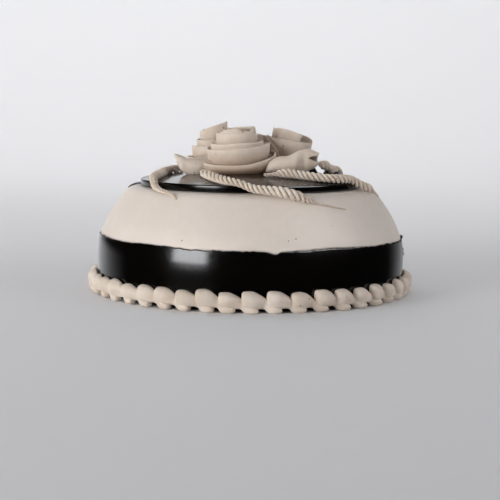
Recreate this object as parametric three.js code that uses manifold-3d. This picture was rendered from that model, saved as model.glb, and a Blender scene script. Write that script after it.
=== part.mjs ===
// A chocolate cream cake: a domed cake coated in coffee cream, with a band and a top of dark chocolate glaze,
// a border of piped shells round its foot, and piped roses, leaves and twisted ropes on top.
// Millimetres, +Z up. The cake stands on z = 0 about the Z axis, and its front faces -Y.

import * as THREE from "three";
import { mergeVertices } from "three/addons/utils/BufferGeometryUtils.js";
import Module from "manifold-3d";

const wasm = await Module();
wasm.setup();

const AROUND = 46; // sides of the round pieces
const CLEAR = 0.3; // air between neighbouring pieces

// The cream coat: an upright wall that leans in, ever faster, to a rounded shoulder.
const DOME = {
  radius: 106.9,
  wallTop: 28.7,
  apex: 150,
  power: 1.32,
  shoulderZ: 68,
  deckRadius: 77,
  deckZ: 71.9,
};

// The glaze band round the wall: it starts just above the base, part sunk in the cream, and proud at its lip.
const BAND = {
  radius: 106.3,
  bottom: 0.8,
  top: 37.6,
  frontRise: 0.9,
  ripple: 0.5,
  thick: 1.5,
  proud: 0.8,
  lip: 1.6,
};

// The round of glaze on top, with a low crown, and the tongue of it that ran over the shoulder.
const GLAZE = { thick: 4.6, rise: 6.5, edge: 1.8 };
const TONGUE = { angle: 168, width: 24, thick: 2.4, end: 0.8, drops: [2, 4] };

// The border: shells piped one after the other, each head over the tail before it.
const SHELLS = { count: 46, ringRadius: 107.6, sides: 6, uneven: 0.05 };

// Twisted ropes of cream: four strands, and a tail drawn thin where the piping stopped.
const ROPE = { radius: 3.1, strands: 4, lead: 12, step: 1.4, tail: 0.9, tailEnd: 0.5, growsIn: 8 };

const PETAL = { thick: 1.7, belly: 0.8, stepDegrees: 30, coreSides: 12 };

const CREAM = { color: 0xd8c8ba, roughness: 0.62, metalness: 0 };
const PIPED = { color: 0xc9b5a3, roughness: 0.66, metalness: 0 };
const CHOCOLATE = { color: 0x0b0706, roughness: 0.12, metalness: 0 };

const radians = THREE.MathUtils.degToRad;
const mix = THREE.MathUtils.lerp;

// A point at a radius, an angle in degrees (0 is +X, 270 is the front) and a height.
function polar(radius, angle, height) {
  return new THREE.Vector3(radius * Math.cos(radians(angle)), radius * Math.sin(radians(angle)), height);
}

// The value a share t of the way along a short list, with smooth bends at its entries.
function along(list, t) {
  const curve = new THREE.SplineCurve(list.map((value, i) => new THREE.Vector2(i, value)));
  return curve.getPoint(t).y;
}

// A closed skin over rings of equally many points. The row joins up with itself, or a fan closes each end.
function loft(rings, joined = false) {
  const count = rings[0].length;
  const points = rings.flat();
  const index = [];
  const spans = joined ? rings.length : rings.length - 1;
  for (let i = 0; i < spans; i++) {
    const here = i * count;
    const next = ((i + 1) % rings.length) * count;
    for (let j = 0; j < count; j++) {
      const k = (j + 1) % count;
      index.push(here + j, here + k, next + j, here + k, next + k, next + j);
    }
  }
  if (!joined) {
    for (const [first, flip] of [[0, true], [(rings.length - 1) * count, false]]) {
      const ring = points.slice(first, first + count);
      const centre = ring.reduce((sum, point) => sum.add(point), new THREE.Vector3()).divideScalar(count);
      const middle = points.push(centre) - 1;
      for (let j = 0; j < count; j++) {
        const k = (j + 1) % count;
        index.push(middle, first + (flip ? k : j), first + (flip ? j : k));
      }
    }
  }
  return new THREE.BufferGeometry().setFromPoints(points).setIndex(index);
}

// A profile of [radius, height] pairs turned about Z, in the order that makes its faces point out.
function turned(profile, sides = AROUND) {
  const points = profile.map(([radius, height]) => new THREE.Vector2(radius, height));
  return new THREE.LatheGeometry(points, sides).rotateX(Math.PI / 2);
}

// A geometry as a solid that can be joined and cut. A skin whose faces point inwards is turned round.
function solid(geometry) {
  const bare = new THREE.BufferGeometry().setAttribute("position", geometry.getAttribute("position"));
  const merged = mergeVertices(bare.setIndex(geometry.index), 1e-3);
  const corners = merged.index.array;
  const triangles = [];
  for (let i = 0; i < corners.length; i += 3) {
    const [a, b, c] = corners.slice(i, i + 3);
    if (a !== b && b !== c && c !== a) triangles.push(a, b, c);
  }
  const vertProperties = merged.attributes.position.array;
  const build = (order) => {
    return new wasm.Manifold(new wasm.Mesh({ numProp: 3, vertProperties, triVerts: new Uint32Array(order) }));
  };
  const made = build(triangles);
  return made.volume() > 0 ? made : build(triangles.reverse());
}

const joined = (pieces) => pieces.reduce((sum, piece) => sum.add(piece));

// --- The cake itself ----------------------------------------------------------------------------------

function domeRadius(z) {
  if (z <= DOME.wallTop) return DOME.radius;
  const share = (z - DOME.wallTop) / (DOME.apex - DOME.wallTop);
  return DOME.radius * (1 - share ** DOME.power) ** (1 / DOME.power);
}

// The crown of the cream under the glaze, and of the glaze on it, at a radius.
function crown(radius) {
  return GLAZE.rise * (1 - (radius / DOME.deckRadius) ** 2);
}

// The rounded shoulder from the side of the dome in to its deck: a quarter of an ellipse, `out` further out.
function shoulder(steps, out = 0) {
  const from = domeRadius(DOME.shoulderZ);
  const wide = from - DOME.deckRadius;
  const high = DOME.deckZ - DOME.shoulderZ;
  return Array.from({ length: steps + 1 }, (_, i) => {
    const turn = (i / steps) * Math.PI / 2;
    return [DOME.deckRadius + wide * Math.cos(turn) + out, DOME.shoulderZ + high * Math.sin(turn) + out];
  });
}

function bandTop(angle) {
  const front = Math.max(0, -Math.sin(radians(angle)));
  const ripple = Math.sin(radians(5 * angle)) + 0.6 * Math.sin(radians(11 * angle + 40));
  return BAND.top + BAND.frontRise * front + BAND.ripple * ripple;
}

// The ring of glaze, or, with `grow`, the room that it takes in the cream.
function band(bottom, grow = 0) {
  const rings = [];
  for (let i = 0; i < AROUND; i++) {
    const angle = (360 * i) / AROUND;
    const top = bandTop(angle) + grow;
    const outside = (z) => Math.min(domeRadius(z) + BAND.proud, BAND.radius) + grow;
    const inside = (z) => outside(z) - BAND.thick - 2 * grow;
    const section = [
      [outside(0), bottom],
      [outside(0), DOME.wallTop],
      [outside(top - BAND.lip), top - BAND.lip],
      [domeRadius(top) + grow, top],
      [inside(top), top - grow / 2],
      [inside(0), DOME.wallTop],
      [inside(0), bottom],
    ];
    rings.push(section.map(([radius, z]) => polar(radius, angle, z)));
  }
  return solid(loft(rings, true));
}

function dome() {
  const side = [40, 49, 57, 63].map((z) => [domeRadius(z), z]);
  const profile = [
    [0, 0],
    [DOME.radius, 0],
    [DOME.radius, DOME.wallTop],
    ...side,
    ...shoulder(3),
    [DOME.deckRadius / 2, DOME.deckZ + crown(DOME.deckRadius / 2)],
    [0, DOME.deckZ + crown(0)],
  ];
  return solid(turned(profile)).subtract(band(-1, CLEAR));
}

// The glaze over the shoulder: it starts inside the round of glaze, and thins as it lies down on the cream.
function tongue() {
  const lift = CLEAR + 0.2;
  const over = shoulder(4, lift).reverse();
  const below = TONGUE.drops.map((drop) => {
    const z = DOME.shoulderZ - drop;
    return [domeRadius(z) + lift, z];
  });
  const run = [[DOME.deckRadius - 5, over[0][1] + 1], ...over, ...below];
  const rings = run.map(([radius, z], i) => {
    const share = i / (run.length - 1);
    const thick = mix(TONGUE.thick, TONGUE.end, share);
    const half = (TONGUE.width / 2) * Math.sqrt(1.04 - share ** 2);
    const spread = THREE.MathUtils.radToDeg(half / radius);
    return [
      polar(radius, TONGUE.angle - spread, z),
      polar(radius + thick * share, TONGUE.angle - spread / 2, z + thick),
      polar(radius + thick * share, TONGUE.angle + spread / 2, z + thick),
      polar(radius, TONGUE.angle + spread, z),
      polar(radius + lift / 2, TONGUE.angle, z + lift / 2),
    ];
  });
  return solid(loft(rings));
}

function glazeRound() {
  const deck = (radius) => DOME.deckZ + CLEAR + crown(radius);
  const rim = DOME.deckRadius;
  const profile = [
    [0, deck(0)],
    [rim / 2, deck(rim / 2)],
    [rim - GLAZE.edge / 2, DOME.deckZ + CLEAR],
    [rim, DOME.deckZ + CLEAR + GLAZE.edge / 2],
    [rim, deck(rim) + GLAZE.thick - GLAZE.edge],
    [rim - GLAZE.edge, deck(rim) + GLAZE.thick],
    [rim * 0.8, deck(rim * 0.8) + GLAZE.thick],
    [rim * 0.45, deck(rim * 0.45) + GLAZE.thick],
    [0, deck(0) + GLAZE.thick],
  ];
  return solid(turned(profile)).add(tongue());
}

// All below the top of the glaze and the side of the cream, and CLEAR more: it cuts what stands on them.
function groundRoom() {
  const top = (radius) => DOME.deckZ + CLEAR + crown(radius) + GLAZE.thick + CLEAR;
  const rim = DOME.deckRadius;
  const side = [30, 45, 55, 63].map((z) => [domeRadius(z) + CLEAR, z]);
  const profile = [
    [0, 20],
    [DOME.radius - 5, 20],
    ...side,
    ...shoulder(4, CLEAR),
    [rim + CLEAR, top(rim) - GLAZE.edge],
    [rim - GLAZE.edge, top(rim)],
    [rim * 0.8, top(rim * 0.8)],
    [rim * 0.45, top(rim * 0.45)],
    [0, top(0)],
  ];
  return solid(turned(profile));
}

// --- The border ---------------------------------------------------------------------------------------

// One shell: a round head that sweeps down to the right into a tail, as [forward, out, up, radius].
const SHELL_FORM = [
  [-5.4, 0, 8.1, 2.8],
  [-2.8, 0, 7.8, 5.5],
  [2.0, 0, 7.2, 6.3],
  [7.6, 0.2, 5.0, 4.6],
  [13.2, 0.6, 2.7, 3.1],
  [17.2, 0.4, 2.1, 1.6],
];

function shell(number) {
  const angle = (360 * number) / SHELLS.count;
  const size = 1 + SHELLS.uneven * Math.sin(2.4 * number);
  const rings = SHELL_FORM.map(([forward, out, up, radius]) => {
    const turn = angle + (forward / SHELLS.ringRadius) * (180 / Math.PI);
    const middle = SHELLS.ringRadius + out;
    return Array.from({ length: SHELLS.sides }, (_, i) => {
      const spin = (i / SHELLS.sides) * 2 * Math.PI;
      return polar(middle + radius * Math.cos(spin), turn, (up + radius * Math.sin(spin)) * size);
    });
  });
  return solid(loft(rings));
}

function shellBorder() {
  const inside = (BAND.radius + CLEAR) / Math.cos(Math.PI / SHELLS.count);
  const wall = solid(turned([[0, -5], [inside, -5], [inside, 40], [0, 40]], SHELLS.count));
  const floor = solid(turned([[0, -20], [200, -20], [200, 0], [0, 0]], 4));
  const shells = Array.from({ length: SHELLS.count }, (_, number) => shell(number));
  return joined(shells).subtract(wall).subtract(floor);
}

// --- Roses --------------------------------------------------------------------------------------------

// A petal: a ribbon stood on edge and bent about the rose's axis. Each of foot, lip, base and top is a short
// list, read along the ribbon: the radius at its foot and at its lip, and the heights of both.
function petal({ from, to, foot, lip, base, top }) {
  const steps = Math.max(4, Math.round((to - from) / PETAL.stepDegrees));
  const rings = Array.from({ length: steps + 1 }, (_, i) => {
    const t = i / steps;
    const angle = mix(from, to, t);
    const [footR, lipR, low, high] = [foot, lip, base, top].map((list) => along(list, t));
    return [
      polar(footR, angle, low),
      polar((footR + lipR) / 2 + PETAL.belly, angle, (low + high) / 2),
      polar(lipR, angle, high),
      polar(lipR - PETAL.thick, angle, high - 0.2),
      polar(footR - 1.6 * PETAL.thick, angle, low),
    ];
  });
  return solid(loft(rings));
}

// A rose: its petals round a core that fills them to a little below their lips.
function rose({ at, lean = [0, 0], core, petals }) {
  const place = new THREE.Matrix4().compose(
    new THREE.Vector3(...at),
    new THREE.Quaternion().setFromEuler(new THREE.Euler(radians(lean[0]), radians(lean[1]), 0)),
    new THREE.Vector3(1, 1, 1),
  );
  const body = joined([solid(turned(core, PETAL.coreSides)), ...petals.map(petal)]);
  return body.transform(place.elements);
}

// The room that a rose takes among its neighbours: a turned form just outside its petals.
function roseRoom({ at, lean = [0, 0], room }) {
  return rose({ at, lean, core: room, petals: [] });
}

const ROSE_FRONT = {
  at: [-8, -12, 81],
  lean: [0, -5],
  core: [[0, -8], [16, -8], [17.5, 0], [20.5, 12], [17, 16], [13, 18], [12.2, 26], [0, 27.5]],
  room: [
    [0, -8], [18.5, -8], [23, 2], [27.4, 9], [27.4, 16], [23.6, 17], [23.6, 21], [20, 24],
    [15.5, 25], [15.5, 34], [0, 34],
  ],
  petals: [
    {
      from: 20, to: 740, foot: [1.8, 7, 13.2], lip: [2.8, 8, 14],
      base: [22, 20, 14], top: [31.5, 33.2, 33, 32, 29.5],
    },
    {
      from: 60, to: 420, foot: [15.5, 16, 17], lip: [17.5, 18, 18.6],
      base: [10, 10, 10], top: [22.6, 22, 22.6],
    },
    {
      from: 150, to: 515, foot: [18, 18.6, 19], lip: [21.6, 22.4, 22.6],
      base: [4, 4, 5], top: [19, 17.6, 19.4, 19],
    },
    {
      from: 176, to: 382, foot: [17.5, 17.5, 18], lip: [26.2, 25.6, 26],
      base: [-6, -6, -6], top: [10.6, 6.8, 8, 13.6],
    },
    {
      from: 10, to: 190, foot: [17.5, 17.5, 17.5], lip: [23.5, 24, 23.5],
      base: [-6, -6, -6], top: [12, 11, 9],
    },
  ],
};

const ROSE_BACK_LEFT = {
  at: [-27.5, 25, 80],
  core: [[0, -6], [12, -6], [14.5, 10], [11, 16], [9, 20], [8.4, 27], [0, 28.5]],
  room: [
    [0, -6], [14.5, -6], [20, 6], [20, 12], [17, 13], [17, 19.5], [13.6, 20], [13.6, 25],
    [11.6, 26], [11.6, 37], [0, 37],
  ],
  petals: [
    {
      from: -30, to: 690, foot: [1.6, 6, 9.5], lip: [2.4, 7, 10.4],
      base: [24, 22, 18], top: [32, 33, 32, 30, 28, 29, 35.6],
    },
    {
      from: 100, to: 440, foot: [10.5, 11, 11], lip: [12.2, 12.6, 12.8],
      base: [12, 12, 12], top: [23.5, 23, 24.5],
    },
    {
      from: 160, to: 500, foot: [12.5, 13, 13], lip: [15.4, 15.8, 16],
      base: [4, 4, 4], top: [18, 17.4, 19],
    },
    {
      from: 30, to: 330, foot: [12.5, 12.5, 12.5], lip: [18.5, 19, 18.5],
      base: [-4, -4, -4], top: [9, 11, 8],
    },
  ],
};

const ROSE_RIGHT = {
  at: [21.5, 13, 81.5],
  lean: [0, 16],
  core: [[0, -9], [9, -9], [10, 0], [11.5, 12], [9, 20], [0, 21.5]],
  room: [[0, -9], [11, -9], [15, 0], [22.6, 12], [22.6, 24], [15.4, 25], [15.4, 31], [0, 31]],
  petals: [
    {
      from: -20, to: 360, foot: [1.6, 4, 7], lip: [2.6, 6, 10],
      base: [18, 17, 15], top: [26, 27.6, 28.4, 27.4],
    },
    {
      from: 160, to: 505, foot: [10, 10.5, 11], lip: [13, 14, 14],
      base: [5, 5, 5], top: [28.4, 25, 21.5, 26.5, 28, 28],
    },
    {
      from: 110, to: 262, foot: [10.5, 11, 11], lip: [18, 17, 15],
      base: [-3, -3, -3], top: [18, 20.5, 18, 10],
    },
    {
      from: 150, to: 225, foot: [11, 12, 12], lip: [21.5, 21.5, 20],
      base: [-2, -2, -2], top: [17, 21.5, 19],
    },
    { from: -30, to: 120, foot: [10.5, 11, 11], lip: [16, 17, 17], base: [-4, -4, -4], top: [9, 12, 15] },
  ],
};

// --- Leaves -------------------------------------------------------------------------------------------

// A folded leaf, as sections along it: [x, y, height of its fold, height of its edges, half its width].
// The fold is a ridge where it is above the edges, and the groove of a boat where it is below them.
function leaf({ sections, thick }) {
  const rings = sections.map(([x, y, fold, edge, half], i) => {
    const [before, after] = [sections[Math.max(0, i - 1)], sections[Math.min(sections.length - 1, i + 1)]];
    const across = new THREE.Vector2(before[1] - after[1], after[0] - before[0]);
    const side = across.setLength(half);
    const point = (share, z) => new THREE.Vector3(x + share * side.x, y + share * side.y, z);
    const depth = Math.min(thick, half);
    return [
      point(-1, edge - depth),
      point(0, Math.min(fold, edge) - depth),
      point(1, edge - depth),
      point(1, edge),
      point(0, fold),
      point(-1, edge),
    ];
  });
  return solid(loft(rings));
}

const LEAF_LEFT = {
  thick: 8,
  sections: [
    [-28, -10, 90, 92, 5],
    [-35, -12, 88.5, 91.5, 9],
    [-41, -14, 87, 92, 9.5],
    [-46.5, -15, 89, 92.5, 7.5],
    [-50.5, -15.4, 92, 93.8, 4],
    [-53, -15.4, 94.6, 94.8, 0.6],
  ],
};

const LEAF_RIGHT = {
  thick: 6,
  sections: [
    [11.3, -29, 85.5, 84, 2],
    [14, -29, 90.5, 84.5, 5],
    [18.5, -28.5, 93.3, 85, 7],
    [24.5, -27.5, 94, 85.5, 8],
    [30.5, -26.5, 96.6, 86.5, 9],
    [36.5, -25.5, 98.2, 88.5, 8],
    [41.5, -24.5, 98.5, 93, 5.5],
    [45.5, -23.8, 97.2, 94.5, 3],
    [48.2, -23.2, 95.4, 94.8, 0.8],
  ],
};

const LEAF_BACK = {
  thick: 4,
  sections: [
    [4, 22, 90, 87, 4],
    [7, 30, 91.5, 88.5, 7.5],
    [10, 38, 89.5, 90, 9],
    [12.5, 45, 87.5, 90.5, 7],
    [14.5, 51, 88, 89.5, 4],
    [16, 55, 90.5, 91, 0.7],
  ],
};

// --- Ropes --------------------------------------------------------------------------------------------

// The height of what carries the ropes at a radius: the crowned glaze, and the cream past its rim.
function carrier(radius) {
  if (radius < DOME.deckRadius) return DOME.deckZ + CLEAR + GLAZE.thick + crown(radius);
  const wide = domeRadius(DOME.shoulderZ) - DOME.deckRadius;
  const out = (radius - DOME.deckRadius) / wide;
  if (out < 1) return DOME.shoulderZ + (DOME.deckZ - DOME.shoulderZ) * Math.sqrt(1 - out ** 2);
  const share = (1 - (radius / DOME.radius) ** DOME.power) ** (1 / DOME.power);
  return mix(DOME.wallTop, DOME.apex, share);
}

// The middle of a rope of some radius at a place in plan: as high as a ball of that size rests on the carrier
// there, or, with `lift`, held above it in an arch.
function resting(x, y, radius, lift) {
  const r = Math.hypot(x, y);
  const reach = radius + CLEAR;
  const touches = Array.from({ length: 17 }, (_, i) => {
    const step = reach * (i / 8 - 1);
    return carrier(r + step) + Math.sqrt(reach ** 2 - step ** 2);
  });
  return new THREE.Vector3(x, y, Math.max(...touches) + lift);
}

// A rope along its places in plan, [x, y, lift]. It grows from a thin start, and past `tail` it is a thread.
function rope({ route, tail }) {
  const plan = new THREE.CatmullRomCurve3(route.map(([x, y, lift = 0]) => new THREE.Vector3(x, y, lift)));
  const length = plan.getLength();
  const steps = Math.round(length / ROPE.step);
  const stations = Array.from({ length: steps + 1 }, (_, i) => {
    const t = i / steps;
    const grown = Math.min(1, 0.45 + (t * length) / ROPE.growsIn);
    const radius = t < tail ? ROPE.radius * grown : mix(ROPE.tail, ROPE.tailEnd, (t - tail) / (1 - tail));
    const place = plan.getPointAt(t);
    return { radius, middle: resting(place.x, place.y, radius, place.z), twist: (t * length) / ROPE.lead };
  });
  const rings = stations.map(({ radius, middle, twist }, i) => {
    const ahead = stations[Math.min(i + 1, steps)].middle;
    const behind = stations[Math.max(i - 1, 0)].middle;
    const heading = ahead.clone().sub(behind).normalize();
    const side = new THREE.Vector3(heading.y, -heading.x, 0).normalize();
    const up = side.clone().cross(heading);
    return Array.from({ length: ROPE.strands }, (_, corner) => {
      const turn = 2 * Math.PI * (corner / ROPE.strands + twist);
      const sideways = middle.clone().addScaledVector(side, radius * Math.cos(turn));
      return sideways.addScaledVector(up, radius * Math.sin(turn));
    });
  });
  return solid(loft(rings));
}

const ROPE_FRONT = {
  route: [
    [-32.5, -41], [-28.5, -57], [-23, -68], [-15, -75.5], [-7, -78.5], [1, -80.5], [9, -83], [17, -85.2],
    [25, -86], [32.5, -84.5], [38, -81.5], [47.5, -77.6], [54, -74.7], [62, -69.5],
  ],
  tail: 0.7,
};

const ROPE_RIGHT = {
  route: [
    [8.5, -46], [16, -45.5], [26, -47.5], [34, -49.5], [42, -51.3], [50.5, -51], [59, -47],
    [66.3, -40], [73.5, -33.5], [79.5, -28], [85, -21], [88, -18.5],
  ],
  tail: 0.9,
};

const ROPE_LEFT = {
  route: [
    [-46, 3], [-52.5, -6], [-56, -14.5], [-59.5, -24.5], [-62.8, -35], [-65, -43.5], [-63.8, -51],
    [-60, -59.5], [-55.5, -67.5], [-51, -72.5], [-49, -74], [-47.5, -77.5],
  ],
  tail: 0.9,
};

const ROPE_BACK = {
  route: [[42, 8, 7], [47, 11, 6.5], [52, 14, 5], [57, 17, 2], [62, 20, 0], [67, 23, 0]],
  tail: Infinity,
};

// --- The whole cake -----------------------------------------------------------------------------------

const ground = groundRoom();
const front = rose(ROSE_FRONT).subtract(ground);
const backLeft = rose(ROSE_BACK_LEFT).subtract(ground).subtract(roseRoom(ROSE_FRONT));
const roseRooms = roseRoom(ROSE_FRONT).add(roseRoom(ROSE_BACK_LEFT));
const right = rose(ROSE_RIGHT).subtract(ground).subtract(roseRooms);
const allRooms = roseRooms.add(roseRoom(ROSE_RIGHT));
const onTop = (piece) => piece.subtract(ground).subtract(allRooms);

const PIECES = {
  cake_dome: [dome(), CREAM],
  glaze_band: [band(BAND.bottom), CHOCOLATE],
  glaze_top: [glazeRound(), CHOCOLATE],
  shell_border: [shellBorder(), PIPED],
  rose_front: [front, PIPED],
  rose_back_left: [backLeft, PIPED],
  rose_right: [right, PIPED],
  leaf_left: [onTop(leaf(LEAF_LEFT)), PIPED],
  leaf_right: [onTop(leaf(LEAF_RIGHT)), PIPED],
  leaf_back: [onTop(leaf(LEAF_BACK)), PIPED],
  rope_front: [onTop(rope(ROPE_FRONT)), PIPED],
  rope_right: [onTop(rope(ROPE_RIGHT)), PIPED],
  rope_left: [onTop(rope(ROPE_LEFT)), PIPED],
  rope_back: [onTop(rope(ROPE_BACK)), PIPED],
};

// The largest body of a solid, as a geometry: what a cut left loose beside it is dropped.
function geometryOf(piece) {
  const whole = piece.decompose().sort((a, b) => b.volume() - a.volume())[0];
  const { vertProperties, triVerts } = whole.getMesh();
  const geometry = new THREE.BufferGeometry();
  geometry.setAttribute("position", new THREE.BufferAttribute(vertProperties, 3));
  geometry.setIndex(new THREE.BufferAttribute(triVerts, 1));
  geometry.computeVertexNormals();
  return geometry;
}

const cake = new THREE.Group();
for (const [name, [piece, finish]] of Object.entries(PIECES)) {
  const mesh = new THREE.Mesh(geometryOf(piece), new THREE.MeshStandardMaterial(finish));
  mesh.name = name;
  cake.add(mesh);
}

export default cake;
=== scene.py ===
# %% [markdown]
# # A domed chocolate cream cake
# The cake has a coat of pale coffee cream, a band and a top of dark mirror glaze, a border of piped shells
# round its foot, and piped roses, leaves and twisted ropes on top. Its solids come packed as a fixed
# frame. This lesson dresses each of them: it builds a fine mesh with the true surface in the same place,
# and gives it its finish. The dressing starts by loading that frame, and keeps the box round it to measure
# the finished cake against.

# %% Load the frame
import math

import bmesh
import bpy
import numpy as np
from mathutils import Matrix, Vector


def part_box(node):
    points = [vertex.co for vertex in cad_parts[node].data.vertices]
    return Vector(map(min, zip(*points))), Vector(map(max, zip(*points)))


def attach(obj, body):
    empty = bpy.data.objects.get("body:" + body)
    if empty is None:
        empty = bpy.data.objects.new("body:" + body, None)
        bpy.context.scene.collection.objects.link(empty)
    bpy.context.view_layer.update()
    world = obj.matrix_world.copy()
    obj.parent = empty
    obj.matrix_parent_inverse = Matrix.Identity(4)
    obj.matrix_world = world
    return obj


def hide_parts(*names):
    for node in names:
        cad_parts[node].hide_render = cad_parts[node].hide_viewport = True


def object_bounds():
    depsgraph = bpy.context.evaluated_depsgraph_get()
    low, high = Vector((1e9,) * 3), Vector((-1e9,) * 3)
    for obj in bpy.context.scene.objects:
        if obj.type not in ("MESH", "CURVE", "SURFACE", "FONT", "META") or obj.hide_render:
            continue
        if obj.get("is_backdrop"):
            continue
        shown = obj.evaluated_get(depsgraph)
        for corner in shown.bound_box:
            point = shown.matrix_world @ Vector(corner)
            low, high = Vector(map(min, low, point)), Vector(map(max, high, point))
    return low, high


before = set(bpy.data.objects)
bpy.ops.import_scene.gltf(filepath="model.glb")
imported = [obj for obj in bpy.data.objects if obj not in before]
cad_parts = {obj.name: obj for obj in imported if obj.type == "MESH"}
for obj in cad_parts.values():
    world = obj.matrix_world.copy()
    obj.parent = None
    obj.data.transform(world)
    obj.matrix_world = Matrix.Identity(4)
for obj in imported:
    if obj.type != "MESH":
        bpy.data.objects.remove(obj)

MM = 0.001
scene = bpy.context.scene
frame_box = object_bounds()
frame_size = [round(side / MM, 1) for side in frame_box[1] - frame_box[0]]
print("frame:", len(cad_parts), "nodes,", frame_size, "mm")

# %% [markdown]
# ## The camera
# The cake was seen from in front, a little from above, through a long lens. The camera's place follows
# from the ellipses of the round pieces: how flat they look gives the height, and how they grow towards the
# bottom gives the distance. It was held a touch askew, so it also has a small roll about its own line of
# sight.

# %% Camera
CAMERA = {"place": (-0.15, -850, 131.2), "down": 7.034, "roll": 0.70, "lens": 87.15, "sensor": 36}

camera = bpy.data.objects.new("camera", bpy.data.cameras.new("camera"))
scene.collection.objects.link(camera)
camera.data.lens = CAMERA["lens"]
camera.data.sensor_width = CAMERA["sensor"]
pitch = Matrix.Rotation(math.radians(90 - CAMERA["down"]), 4, "X")
roll = Matrix.Rotation(math.radians(CAMERA["roll"]), 4, "Z")
camera.matrix_world = Matrix.Translation(Vector(CAMERA["place"]) * MM) @ pitch @ roll
scene.camera = camera
print("camera at", CAMERA["place"], "mm")

# %% [markdown]
# ## Making meshes
# Most pieces here are skins drawn over rings of points: a ring for each step round the cake, or along a
# petal. Blender could loft curves for this, but a grid of points worked out with numpy keeps every size in
# view and lets each piece carry its own unevenness. A helper joins the rings into faces and shuts the
# ends, and another turns a profile about the upright axis, as on a lathe.

# %% Skins
def polar(radius, angle, height):
    """Points at a radius, an angle in radians (0 is +X) and a height."""
    radius, angle, height = np.broadcast_arrays(radius, angle, height)
    return np.stack([radius * np.cos(angle), radius * np.sin(angle), height], axis=-1).astype(float)


def loft(rings, joined=False, lay=None):
    """A closed skin over rings of equally many points, in millimetres: (points, faces, lay).
    The row of rings joins up with itself, or a fan closes each end. lay is a flat place for each point."""
    rings = np.asarray(rings, float)
    rows, columns = rings.shape[:2]
    index = np.arange(rows * columns).reshape(rows, columns)
    here = index if joined else index[:-1]
    ahead = np.roll(index, -1, axis=0) if joined else index[1:]
    quads = np.stack([here, np.roll(here, -1, axis=1), np.roll(ahead, -1, axis=1), ahead], axis=-1)
    faces = quads.reshape(-1, 4).tolist()
    points = rings.reshape(-1, 3)
    lay = np.zeros_like(points) if lay is None else np.asarray(lay, float).reshape(-1, 3)
    if not joined:
        for end in (0, rows - 1):
            centre = len(points)
            points = np.vstack([points, rings[end].mean(axis=0)])
            lay = np.vstack([lay, lay[index[end]].mean(axis=0)])
            faces += [[centre, index[end, i], index[end, i - 1]] for i in range(columns)]
    return points, faces, lay


def turned(profile, around):
    """A skin turned about Z from a profile of (radius, height) pairs that starts and ends on the axis."""
    profile = np.asarray(profile, float)
    angles = np.linspace(0, 2 * math.pi, around, endpoint=False)
    rings = [polar(radius, angles, height) for radius, height in profile[1:-1]]
    points, faces, lay = loft(rings)
    points[-2], points[-1] = (0, 0, profile[0][1]), (0, 0, profile[-1][1])
    return points, faces, lay


print("a turned cone has", len(turned([(0, 0), (1, 0), (0, 1)], 12)[1]), "faces from 12 steps round")

# %% [markdown]
# ## From skins to pieces
# A piece often has several skins, such as the petals of a rose. Joining them into one mesh keeps the list
# of objects short, and a normal that points inwards would show as a dark or missing face, so each closed
# skin has its faces turned outwards first. A finished piece rides on the cake, stands for one solid of the
# frame, and is given its material.

# %% Meshes and pieces
def mesh_of(name, skins):
    """One mesh, in metres, with faces that point outwards, from skins in millimetres."""
    points, faces, lay = [], [], []
    for skin_points, skin_faces, skin_lay in skins:
        start = sum(len(part) for part in points)
        points.append(skin_points)
        lay.append(skin_lay)
        faces += [[start + corner for corner in face] for face in skin_faces]
    mesh = bpy.data.meshes.new(name)
    mesh.from_pydata((np.vstack(points) * MM).tolist(), [], faces)
    mesh.attributes.new("lay", "FLOAT_VECTOR", "POINT").data.foreach_set("vector", np.vstack(lay).ravel())
    tidy(mesh)
    return mesh


def tidy(mesh):
    """Turns the faces of each closed skin outwards and shades them smooth."""
    work = bmesh.new()
    work.from_mesh(mesh)
    bmesh.ops.recalc_face_normals(work, faces=work.faces)
    work.to_mesh(mesh)
    work.free()
    mesh.polygons.foreach_set("use_smooth", [True] * len(mesh.polygons))
    mesh.update()


def hand_over(thing, node, material):
    """Gives a finished piece its material, and lets it stand for a node of the frame."""
    thing.data.materials.clear()
    thing.data.materials.append(material)
    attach(thing, "root")
    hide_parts(node)
    triangles = sum(len(face.vertices) - 2 for face in thing.data.polygons)
    print(f"{thing.name}: {triangles} triangles")


def make(name, skins, node, material):
    """A piece of the cake from its skins, in place of a node."""
    thing = bpy.data.objects.new(name, mesh_of(name, skins))
    scene.collection.objects.link(thing)
    hand_over(thing, node, material)


# %% [markdown]
# ## Smooth lists
# Cream has no corners, but its driving sizes are easiest to keep as short lists. A smooth curve through
# such a list, the one that runs through every value and takes its slope from the two beside it, gives as
# many steps as a mesh needs. A soft step between two limits fades one form into another.

# %% Smooth lists
def smooth_rows(rows, count):
    """A list of rows of numbers, read at count even steps along a smooth curve through them."""
    rows = np.asarray(rows, float)
    t = np.linspace(0, len(rows) - 1, count)
    i = np.clip(t.astype(int), 0, len(rows) - 2)
    f = (t - i)[:, None]
    padded = np.vstack([2 * rows[0] - rows[1], rows, 2 * rows[-1] - rows[-2]])
    before, here, ahead, beyond = (padded[i + k] for k in range(4))
    linear = ahead - before
    curve = 2 * before - 5 * here + 4 * ahead - beyond
    cubic = 3 * (here - ahead) + beyond - before
    return here + 0.5 * f * (linear + f * (curve + f * cubic))


def smoothstep(low, high, value):
    """0 below low, 1 above high, and a soft step between them. It steps down where low is above high."""
    share = np.clip((np.asarray(value, float) - low) / (high - low), 0, 1)
    return share * share * (3 - 2 * share)


print("0, 4, 0 in five smooth steps:", smooth_rows([[0], [4], [0]], 5)[:, 0].tolist())

# %% [markdown]
# ## Unevenness
# Food is never exact. A few sines with odd speeds make an edge wander. Noise would do too, but sines of
# whole speeds meet again after a full turn, so a lip that runs round the cake has no step in it. Their
# speeds, starts and strengths are drawn from a fixed seed, so each run of the script gives the same cake.

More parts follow.
